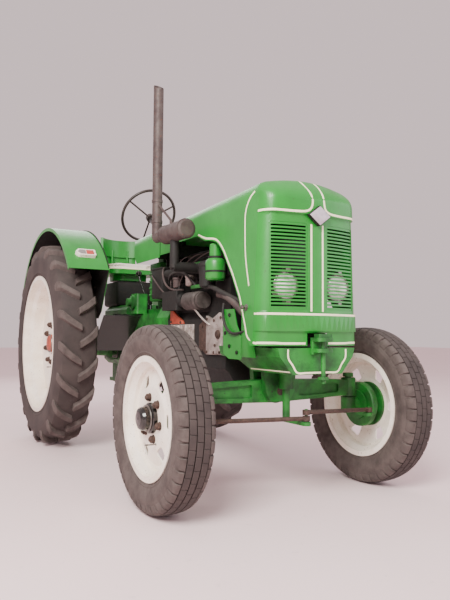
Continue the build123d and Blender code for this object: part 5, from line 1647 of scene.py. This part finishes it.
@dataclass
class SeatCushion:
    """The pad in the seat pan, its piping, the pan's rim and the apron behind it; in millimetres."""

    centre_y: float = 996.0
    bottom: float = 1350.0
    top: float = 1438.0
    half_width: float = 212.0
    half_depth: float = 192.0
    corner: float = 88.0
    frames: int = 20
    voxel: float = 6.0
    reach: float = 14.0
    hollow: tuple[float, float, float] = (150.0, 140.0, 12.0)
    room: tuple[float, float] = (219.5, 199.5)

    def pad(self) -> Piece:
        """The pad's starting shape: a rounded slab with softened edges.

        Returns:
            The slab, in place.
        """
        centre = mm(0, self.centre_y, (self.bottom + self.top) / 2)
        size = (2 * self.half_width, 2 * self.half_depth, self.top - self.bottom - 16)
        bpy.ops.mesh.primitive_cube_add(size=1, location=centre, scale=[s * MM for s in size])
        bpy.ops.object.transform_apply(location=False, rotation=False, scale=True)
        obj = started("seat_pad")
        bpy.ops.mesh.select_all(action="DESELECT")
        bpy.ops.object.mode_set(mode="OBJECT")
        for edge in obj.data.edges:
            a, b = (obj.data.vertices[i].co for i in edge.vertices)
            edge.select = abs(a.z - b.z) > 0.01
        bpy.ops.object.mode_set(mode="EDIT")
        bpy.ops.mesh.bevel(offset=self.corner * MM, segments=8, affect="EDGES")
        bpy.ops.mesh.select_all(action="SELECT")
        closed_up(obj)
        modified(obj, "BEVEL", width=18 * MM, segments=4, limit_method="ANGLE", angle_limit=0.9)
        return obj

    def simulate(self, pad: Piece) -> None:
        """Blow the pad up with cloth pressure, and cap how far any point may move.

        Args:
            pad: The pad.
        """
        modified(pad, "REMESH", mode="VOXEL", voxel_size=self.voxel * MM)
        before = [v.co.copy() for v in pad.data.vertices]
        cloth = pad.modifiers.new("Cloth", "CLOTH")
        cloth.settings.use_pressure = True
        cloth.settings.uniform_pressure_force = 4
        cloth.settings.effector_weights.gravity = 0
        cloth.point_cache.frame_start = 1
        cloth.point_cache.frame_end = self.frames
        for step in range(1, self.frames + 1):
            bpy.context.scene.frame_set(step)
        blown = pad.evaluated_get(bpy.context.evaluated_depsgraph_get()).to_mesh()
        after = [v.co.copy() for v in blown.vertices]
        pad.modifiers.remove(cloth)
        bpy.context.scene.frame_set(1)
        for vertex, old, new in zip(pad.data.vertices, before, after):
            move = new - old
            limit = self.reach * MM
            vertex.co = old + (move * (limit / move.length) if move.length > limit else move)

    def settle(self, pad: Piece) -> None:
        """Rest the pad flat in the pan, keep it inside its space and press the seat's hollow into it.

        Args:
            pad: The pad.
        """
        wide, deep, sunk = self.hollow
        for vertex in pad.data.vertices:
            x, y, z = vertex.co.x / MM, vertex.co.y / MM - self.centre_y, vertex.co.z / MM
            if z > (self.bottom + self.top) / 2:
                z -= sunk * math.exp(-((x / wide) ** 2) - ((y - 10) / deep) ** 2)
            x, y = (max(min(value, limit), -limit) for value, limit in zip((x, y), self.room))
            vertex.co = mm(x, self.centre_y + y, min(max(z, self.bottom), self.top))

    def piping(self) -> Piece:
        """The sewn cord round the pad's upper edge.

        Returns:
            The cord, in place.
        """
        half = (self.half_width + 4, self.half_depth + 3)
        spots = rounded_loop(half, self.corner, mm(0, self.centre_y, self.top - 17), 5)
        return tube("seat_piping", spots, 4.0)

    def rim(self) -> Piece:
        """The cream rolled rim of the pan."""
        spots = rounded_loop((225, 205), 95, mm(0, self.centre_y, 1386), 7)
        return tube("seat_pan_rim", spots, 5.0)

    def back_apron(self) -> Piece:
        """The curved sheet that closes the seat's back under the backrest.

        Returns:
            The sheet, in place.
        """

        def place(share: float, across: float, height: float) -> Vector:
            """A place on the sheet, round like the backrest and clear of the pad.

            Args:
                share: 0 to 1 from the right to the left.
                across: -0.5 to 0.5 upwards.
                height: 1 on the rear face, 0 on the front one.

            Returns:
                The place, in metres.
            """
            x = (share - 0.5) * 290
            y = 1013 + math.sqrt(226.0**2 - x**2) + 3 * height
            return mm(x, max(y, 1204 + 3 * height), 1484 + 112 * across)

        return slab("seat_back_apron", (18, 4), place, 0.0)

    def build(self) -> None:
        """Make the rim and the apron, then the pad: blow it up, settle it and sew its piping on."""
        dress(self.rim(), "chassis", "cream_paint", CREAM_LINING)
        dress(self.back_apron(), "chassis", "green_paint", GREEN_ENAMEL)
        pad = self.pad()
        self.simulate(pad)
        self.settle(pad)
        modified(pad, "SUBSURF", levels=1, render_levels=1)
        edit(pad)
        closed_up(pad, 60)
        dress(pad, "chassis", "seat_cover", SEAT_CLOTH, "seat_pad")
        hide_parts("seat_cushion")
        dress(self.piping(), "chassis", "seat_cover", SEAT_CLOTH)


# Engine and cockpit


@dataclass
class EngineDressing:
    """Castings, covers, hoses, pipes and bolts on the engine's open sides; sizes in millimetres."""

    side_x: float = -190.0

    def cover(
        self, name: str, outline: Profile, depth: float, finish: Finish, slot: str, bolts: Profile = ()
    ) -> None:
        """A bolted cover on the engine's right side.

        Args:
            name: Name of the piece.
            outline: Its corners as (Y, Z).
            depth: How far it stands out.
            finish: What it is made of.
            slot: The record's material slot.
            bolts: Bolt places as (Y, Z).
        """
        corners = [mm(self.side_x + 2, y, z) for y, z in outline]
        parts = [coated(plate(name, corners, mm(-depth - 2, 0, 0), 3.0), finish)]
        for y, z in bolts:
            parts.append(coated(hex_bolt(mm(self.side_x - depth, y, z), -X_AXIS, 8, 6), RUSTED_STEEL))
        dress(joined(name, parts), "chassis", slot, None)

    def covers(self) -> None:
        """Crankcase covers, the red panel and the ribbed side casting."""
        front = ((-1022, 738), (-1022, 966), (-985, 975), (-905, 940), (-830, 960), (-830, 735))
        bolts = ((-1008, 752), (-1008, 945), (-930, 750), (-930, 930), (-845, 750), (-845, 940))
        self.cover("crankcase_cover", front, 16, ALLOY_CASTING, "engine_grey", bolts)
        rusty = ((-826, 735), (-826, 930), (-790, 935), (-735, 905), (-735, 770))
        rusty_bolts = ((-780, 760), (-780, 900))
        self.cover("crankcase_breather_plate", rusty, 12, RUSTED_STEEL, "engine_grey", rusty_bolts)
        patch = ((-1015, 742), (-1015, 800), (-940, 800), (-940, 742))
        self.cover("sump_cover", patch, 22, ALLOY_CASTING, "engine_grey", ((-1004, 752), (-952, 790)))
        red = ((-330, 1000), (-330, 915), (-520, 915), (-505, 935), (-372, 1000))
        self.cover("red_side_panel", red, 14, RED_ENAMEL, "engine_grey", ((-350, 930), (-490, 925)))
        for index in range(6):
            y = -345 - 52 * index
            rib = ((y, 800), (y, 908), (y - 22, 908), (y - 22, 800))
            self.cover(f"side_rib_{index}", rib, 24, ALLOY_CASTING, "engine_grey")
        web = ((-335, 790), (-335, 912), (-655, 912), (-655, 790))
        self.cover("ribbed_side_casting", web, 10, ALLOY_CASTING, "engine_grey")
        boss = lathe(
            "crankcase_boss",
            mm(self.side_x - 14, -978, 852),
            -X_AXIS,
            [(-2, 0), (-2, 26), (10, 24), (12, 18), (16, 17), (18, 12), (18, 0)],
            28,
        )
        dress(boss, "chassis", "engine_grey", RUSTED_STEEL)

    def air_cleaner(self) -> None:
        """The green oil-bath air cleaner with its neck, its two dark bands and its air pipe."""
        foot = mm(-240, -1003, 1150)
        up = Z_AXIS
        bowl = [
            (0, 0), (0, 44), (6, 52), (12, 56), (100, 56), (112, 52), (122, 40), (126, 34), (196, 34),
            (204, 28), (206, 0),
        ]
        body = lathe("air_cleaner", foot, up, bowl, 40)
        dress(body, "chassis", "green_paint", GREEN_ENAMEL)
        band = [(122, 39), (122, 42), (134, 42), (134, 33), (122, 39)]
        clip = [(44, 55), (44, 59), (54, 59), (54, 55), (44, 55)]
        rings = [lathe("air_cleaner_band", foot, up, ring, 40) for ring in (band, clip)]
        dress(joined("air_cleaner_band", rings), "chassis", "black_paint", SOOTY_BLACK_AND_SHADE)
        spots = ((-214, -1003, 1330), (-150, -985, 1372), (-110, -930, 1380), (-90, -880, 1330))
        pipe = tube("air_pipe", [mm(*spot) for spot in spots], 22)
        dress(pipe, "chassis", "black_plastic", HOSE_RUBBER)

    def filters(self) -> None:
        """Two fuel filter bowls over the injection pump, with a small green bracket."""
        bowl = [
            (0, 0), (0, 14), (4, 24), (10, 27), (52, 27), (54, 31), (66, 31), (70, 20), (76, 9), (76, 0),
        ]
        for end, y, finish in (("rear", -470, HEATED_STEEL), ("front", -650, ALLOY_CASTING)):
            piece = lathe(f"fuel_filter_{end}", mm(-222, y, 1140), Z_AXIS, bowl, 28)
            dress(piece, "chassis", "engine_grey", finish)
        bracket = bar("fuel_filter_bracket", mm(-214, -745, 1132), (44, 120, 22), 4)
        dress(bracket, "chassis", "green_paint", GREEN_CASTING)
        tank = bar("overflow_tin", mm(-200, -700, 1262), (20, 96, 46), 4)
        dress(tank, "chassis", "green_paint", GREEN_ENAMEL)

    def hoses(self) -> None:
        """Rubber hoses, fuel pipes and the pale rod, each a smooth line through chosen places."""
        runs = (
            ("radiator_hose", 21, HEATED_STEEL, (
                (-205, -985, 1075), (-228, -1080, 1072), (-226, -1180, 1030), (-204, -1250, 960),
                (-186, -1320, 900),
            )),
            ("heater_hose", 13, HOSE_RUBBER, (
                (-222, -850, 1120), (-240, -930, 1128), (-246, -1030, 1100), (-236, -1130, 1060),
                (-200, -1230, 1020),
            )),
            ("drain_hose", 7, HOSE_RUBBER, (
                (-240, -1098, 1020), (-252, -1100, 950), (-254, -1140, 885), (-252, -1210, 848),
                (-246, -1290, 862), (-220, -1330, 880),
            )),
            ("oil_pipe", 6, ALLOY_CASTING, (
                (-228, -640, 1060), (-236, -690, 1036), (-238, -780, 974), (-222, -862, 918),
                (-205, -880, 905),
            )),
            ("brown_loop_rear", 7, HEATED_STEEL, (
                (-214, -250, 1290), (-250, -300, 1270), (-258, -330, 1200), (-254, -400, 1140),
                (-240, -480, 1120), (-224, -560, 1125),
            )),
            ("black_loop", 8, HOSE_RUBBER, (
                (-210, -330, 1180), (-256, -400, 1220), (-262, -520, 1240), (-262, -640, 1232),
                (-250, -720, 1180), (-214, -740, 1120),
            )),
            ("fuel_pipe", 4, HEATED_STEEL, (
                (-226, -470, 1212), (-244, -520, 1226), (-244, -600, 1228), (-226, -650, 1212),
            )),
            ("fuel_feed", 5, HEATED_STEEL, (
                (-226, -64, 1250), (-246, -140, 1230), (-250, -240, 1160), (-244, -330, 1110),
                (-228, -380, 1090),
            )),
        )
        for name, radius, finish, spots in runs:
            piece = tube(name, [mm(*spot) for spot in spots], radius, 4)
            dress(piece, "chassis", "black_plastic", finish)

    def injector_pipes(self) -> None:
        """Four steel pipes from the injection pump's valves up to the cylinder head."""
        pipes = []
        for index in range(4):
            y = -510 + 42 * index
            head_y = -880 + 170 * index
            spots = (
                (-226, y, 1150), (-226, y, 1185), (-240, (y + head_y) / 2, 1290),
                (-200, head_y, 1342), (-150, head_y, 1336),
            )
            pipes.append(tube("pipe", [mm(*spot) for spot in spots], 3.2, 4))
        dress(joined("injector_pipes", pipes), "chassis", "steel", HEATED_STEEL)

    def belt(self) -> None:
        """The fan belt round the fan pulley and the crank pulley."""
        y, spots = -1078.0, []
        for x, z, radius, first in ((0, 1150, 63, 0), (0, 872, 78, 180)):
            for step in range(9):
                angle = math.radians(first + 22.5 * step)
                spots.append(mm(x + radius * math.cos(angle), y, z + radius * math.sin(angle)))
        dress(tube("fan_belt", [*spots, spots[0]], 6.0), "chassis", "black_plastic", HOSE_RUBBER)

    def head_cover(self) -> None:
        """The rounded valve cover on the cylinder head with its two knobs."""
        cover = bar("valve_cover", mm(0, -650, 1352), (170, 640, 56), 20, 4)
        knob = [(0, 0), (0, 14), (8, 14), (12, 8), (12, 0)]
        knobs = [lathe("knob", mm(0, y, 1379), Z_AXIS, knob, 6, 20) for y in (-850, -450)]
        dress(joined("valve_cover", [cover, *knobs]), "chassis", "black_paint", SOOTY_BLACK_AND_SHADE)

    def side_plates(self) -> None:
        """The front halves of the two side plates, with the dark bolts of both halves."""
        for side in Side:
            out = side.value * X_AXIS
            outline = ((-1281, 738), (-1281, 950), (-1300, 946), (-1392, 830), (-1412, 738))
            corners = [mm(side.value * 234.6, y, z) for y, z in outline]
            front = plate(f"front_side_plate_{side.word}", corners, out * 5.4 * MM, 1.0)
            dress(front, "chassis", "green_paint", GREEN_ENAMEL)
            bolts = [
                hex_bolt(mm(side.value * 240, y, z), out, 10, 7)
                for y, z in ((-1164, 955), (-1164, 791), (-1240, 760), (-1120, 860))
            ]
            dress(joined(f"side_plate_bolts_{side.word}", bolts), "chassis", "steel", SOOTY_BLACK_AND_SHADE)

    def build(self) -> None:
        """Make everything on the engine."""
        self.covers()
        self.air_cleaner()
        self.filters()
        self.hoses()
        self.injector_pipes()
        self.belt()
        self.head_cover()
        self.side_plates()


@dataclass
class Cockpit:
    """Housings under the tank, gauges, caps and exhaust clamps; sizes in millimetres."""

    def housings(self) -> None:
        """The console under the tank cowl, its battery box and the lift housing under the seat."""
        console = bar("console_housing", mm(0, 70, 1222), (300, 180, 276), 14)
        ribs = [bar("rib", mm(-152, 70, z), (16, 150, 14), 4) for z in (1130, 1180, 1230, 1280)]
        dress(joined("console_housing", [console, *ribs]), "chassis", "green_paint", GREEN_CASTING)
        battery = bar("battery_box", mm(-150, -150, 1190), (150, 170, 200), 6)
        lid = bar("lid", mm(-150, -150, 1292), (158, 178, 14), 4)
        dress(joined("battery_box", [battery, lid]), "chassis", "black_paint", SOOTY_BLACK_AND_SHADE)
        # the lift housing is near-black: painted shade filling the dark gap under the seat
        lift = bar("lift_housing", mm(0, 985, 1180), (320, 340, 208), 26, 3)
        dress(lift, "chassis", "green_paint", SOOTY_BLACK_AND_SHADE)

    def gauges(self) -> None:
        """Two round gauges and a key switch on the tank cowl's rear face."""
        face = Skin(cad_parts["tank_cowl"])
        rings, dials = [], []
        for x, z, r in ((-110, 1490, 36), (110, 1490, 36), (-175, 1480, 13)):
            spot, normal = face.hit(mm(x, 600, z), -Y_AXIS)
            ring = [(-2, r - 6), (-2, r), (6, r), (8, r - 3), (6, r - 6), (-2, r - 6)]
            rings.append(lathe("ring", spot, normal, ring, 40))
            dials.append(lathe("dial", spot, normal, [(0, 0), (0, r - 5), (2, r - 5), (2, 0)], 40))
        dress(joined("gauge_rings", rings), "chassis", "steel", BARE_STEEL)
        dress(joined("gauge_dials", dials), "chassis", "black_plastic", GLOSS_BLACK_AND_SHADE)

    def caps(self) -> None:
        """The fuel filler cap on the tank and the cap of the steering wheel."""
        spot, normal = Skin(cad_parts["tank_cowl"]).roof(0, -60)
        filler = [(-1, 0), (-1, 44), (5, 46), (8, 38), (10, 30), (22, 30), (27, 26), (29, 10), (29, 0)]
        dress(lathe("fuel_filler_cap", spot, normal, filler, 36), "chassis", "steel", SOOTY_BLACK_AND_SHADE)
        tilt = math.radians(34)
        axis = Vector((0, math.cos(tilt), math.sin(tilt)))
        top, _ = Skin(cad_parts["steering_wheel"]).hit(mm(0, 551, 1795) + axis * 0.3, -axis)
        button = [(-1, 0), (-1, 21), (4, 20), (9, 14), (11, 6), (11, 0)]
        cap = lathe("steering_wheel_cap", top, axis, button, 32)
        dress(cap, "steering_wheel", "black_plastic", GLOSS_BLACK_AND_SHADE)

    def clamps(self) -> None:
        """Clamp bands on the exhaust stack and muffler."""
        clamp = [(-8, 30), (-8, 34), (8, 34), (8, 30), (-8, 30)]
        band = [(-7, 54), (-7, 57), (7, 57), (7, 54), (-7, 54)]
        rings = [lathe("clamp", mm(-385, -514, z), Z_AXIS, clamp, 32) for z in (1540, 1668)]
        for y in (-918, -660):
            rings.append(lathe("band", mm(-385, y, 1440), Y_AXIS, band, 40))
        dress(joined("exhaust_clamps", rings), "chassis", "exhaust", HEATED_STEEL)

    def build(self) -> None:
        """Make everything round the driver's place."""
        self.housings()
        self.gauges()
        self.caps()
        self.clamps()


# Stage


@dataclass
class Stage:
    """Floor, soft studio light and the camera of the main view; sizes in metres."""

    eye: tuple[float, float, float] = (-1.845, -3.914, 0.859)
    yaw: float = 0.520
    pitch: float = 0.055
    roll: float = 0.007
    lens: float = 36.09
    floor_half: float = 30.0

    def camera(self) -> None:
        """Place the camera and make it the scene's."""
        data = bpy.data.cameras.new("camera")
        data.lens = self.lens
        data.sensor_width = 36.0
        data.clip_end = 200
        camera = bpy.data.objects.new("camera", data)
        bpy.context.scene.collection.objects.link(camera)
        ahead = Vector(
            (
                math.sin(self.yaw) * math.cos(self.pitch),
                math.cos(self.yaw) * math.cos(self.pitch),
                math.sin(self.pitch),
            )
        )
        level = Vector((math.cos(self.yaw), -math.sin(self.yaw), 0))
        up = level.cross(ahead)
        right = level * math.cos(self.roll) + up * math.sin(self.roll)
        top = up * math.cos(self.roll) - level * math.sin(self.roll)
        turn = Matrix((right, top, -ahead)).transposed().to_4x4()
        camera.matrix_world = Matrix.Translation(Vector(self.eye)) @ turn
        bpy.context.scene.camera = camera

    def light(self, name: str, place: Vector, size: float, power: float, colour: str) -> None:
        """One soft area light that looks at the tractor's middle.

        Args:
            name: The lamp's name.
            place: Where it hangs, in metres.
            size: Its side, in metres.
            power: Its power in watts.
            colour: Its sRGB hex colour.
        """
        data = bpy.data.lights.new(name, "AREA")
        data.size = size
        data.energy = power
        data.color = linear(colour)[:3]
        lamp = bpy.data.objects.new(name, data)
        lamp.location = place
        lamp.rotation_euler = (Vector((0, -0.3, 0.9)) - place).to_track_quat("-Z", "Y").to_euler()
        bpy.context.scene.collection.objects.link(lamp)

    def floor(self) -> None:
        """A wide flat pale floor."""
        half = self.floor_half
        bpy.ops.mesh.primitive_plane_add(size=2 * half, location=(0, 0, 0))
        obj = started("studio_floor")
        bpy.ops.mesh.inset(thickness=half * 0.4, depth=0)
        bpy.ops.mesh.select_all(action="SELECT")
        closed_up(obj)
        obj.data.materials.append(PAINTS.get(STUDIO_FLOOR))

    def build(self) -> None:
        """Make the floor, the lights, the sky and the camera."""
        self.floor()
        self.camera()
        world = bpy.data.worlds.new("soft_sky")
        world.use_nodes = True
        sky = world.node_tree.nodes["Background"]
        sky.inputs["Color"].default_value = linear("#FBE4E6")
        sky.inputs["Strength"].default_value = 0.95
        bpy.context.scene.world = world
        self.light("key", Vector((-4.5, -5.0, 5.0)), 3.0, 950, "#FFFDF6")
        self.light("fill", Vector((5.5, -4.5, 3.0)), 5.0, 160, "#F6FAFF")
        self.light("back", Vector((1.0, 6.0, 4.5)), 4.0, 160, "#FFFFFF")


# Finishes of the CAD nodes: node names by finish, and the names that come once on each side

NODE_FINISHES: dict[Finish, str] = {
    GREEN_ENAMEL: "hood grille tank_cowl seat_backrest seat_pan side_plates",
    SEAT_CLOTH: "seat_cushion",
    GREEN_CASTING: "front_bolster front_axle_beam centre_steering_arm gearbox rear_axle_housings "
    "rear_drawbar front_hitch_jaw hitch_pin steering_gear",
    RUSTED_STEEL: "axle_pivot_pin",
    GLOSS_BLACK_AND_SHADE: "cowl_supports radiator steering_column gear_levers pedals",
    # the engine block and oil filter are near-black: painted shade of the engine bay
    SOOTY_BLACK_AND_SHADE: "engine_block exhaust_manifold injection_pump oil_filter",
    HARD_RUBBER: "steering_wheel",
    HEATED_STEEL: "muffler exhaust_stack",
    CAST_IRON: "generator",
}
PAIRED_FINISHES: dict[Finish, str] = {
    GREEN_ENAMEL: "fender",
    CREAM_ENAMEL: "fender_lamp front_wheel rear_wheel",
    # the footplates are gloss black: painted shade between the rear tyres and the gearbox
    GLOSS_BLACK_AND_SHADE: "footplate",
    RUBBER_PAINTED_SHADE: "front_tyre rear_tyre",
    GREEN_CASTING: "front_hub knuckle",
    RED_ENAMEL: "rear_hub",
    BARE_STEEL: "headlamp",
    RUSTED_STEEL: "tie_rod",
}


def paint_nodes() -> None:
    """Give every CAD node its finish, and some faces of a few nodes a second one."""
    for finish, nodes in NODE_FINISHES.items():
        for node in nodes.split():
            paint_node(node, finish)
    for finish, kinds in PAIRED_FINISHES.items():
        for kind in kinds.split():
            for side in Side:
                paint_node(f"{kind}_{side.word}", finish)
    front_hub, rear_hub = mm(0, FRONT_AXLE_Y, FRONT_AXLE_Z), mm(0, REAR_AXLE_Y, REAR_AXLE_Z)

    def on_cap(middle: Vector, _: Vector) -> bool:
        """Whether a face of a front hub is on its cap, beyond the wheel's disc."""
        return abs(middle.x) > 0.6985 and (middle - front_hub).yz.length < 0.08

    def shaded_arch(middle: Vector, normal: Vector) -> bool:
        """Whether a face of a fender looks at the wheel, in the arch that gets painted shade."""
        inner = abs(middle.x) < 0.46 and normal.x * middle.x > 0 and abs(normal.x) > 0.7
        return inner or (middle - rear_hub).yz.dot(normal.yz) < -0.05

    for side in Side:
        paint_faces(f"front_hub_{side.word}", GLOSS_BLACK_AND_SHADE, on_cap)
        # the faces in each fender's arch are near-black: painted shade under the fender
        paint_faces(f"fender_{side.word}", SOOTY_BLACK_AND_SHADE, shaded_arch)
    # the grille's level faces, the slats' undersides and tops, are near-black: painted shade between the
    # slats
    paint_faces("grille", SOOTY_BLACK_AND_SHADE, lambda _, normal: abs(normal.z) > 0.7)
    # the muffler's lower part is near-black: painted shade under it
    paint_faces("muffler", SOOTY_BLACK_AND_SHADE, lambda middle, _: middle.z < 1.38)


def main() -> None:
    """Build the looks, piece by piece."""
    logging.basicConfig(level=logging.INFO, format="%(name)s %(message)s")
    paint_nodes()
    Stage().build()
    RearTyre().build()
    FrontTyre().build()
    WheelHardware(
        axle=Axle.FRONT, centre_x=665, axle_y=FRONT_AXLE_Y, height=FRONT_AXLE_Z, face=34,
        nut_ring=100, nuts=6, nut_radius=16, valve_ring=128, cap_radius=58, cap_face=60,
    ).build()
    WheelHardware(
        axle=Axle.REAR, centre_x=650, axle_y=REAR_AXLE_Y, height=REAR_AXLE_Z, face=14,
        nut_ring=150, nuts=8, nut_radius=19, valve_ring=200, cap_radius=66, cap_face=30,
    ).build()
    HoodTrim(HoodSheet().build()).build()
    BolsterLines().build()
    Headlamps().build()
    FenderBeads().build()
    FenderLamps().build()
    EngineDressing().build()
    Cockpit().build()
    SeatCushion().build()


if __name__ == "__main__":
    main()
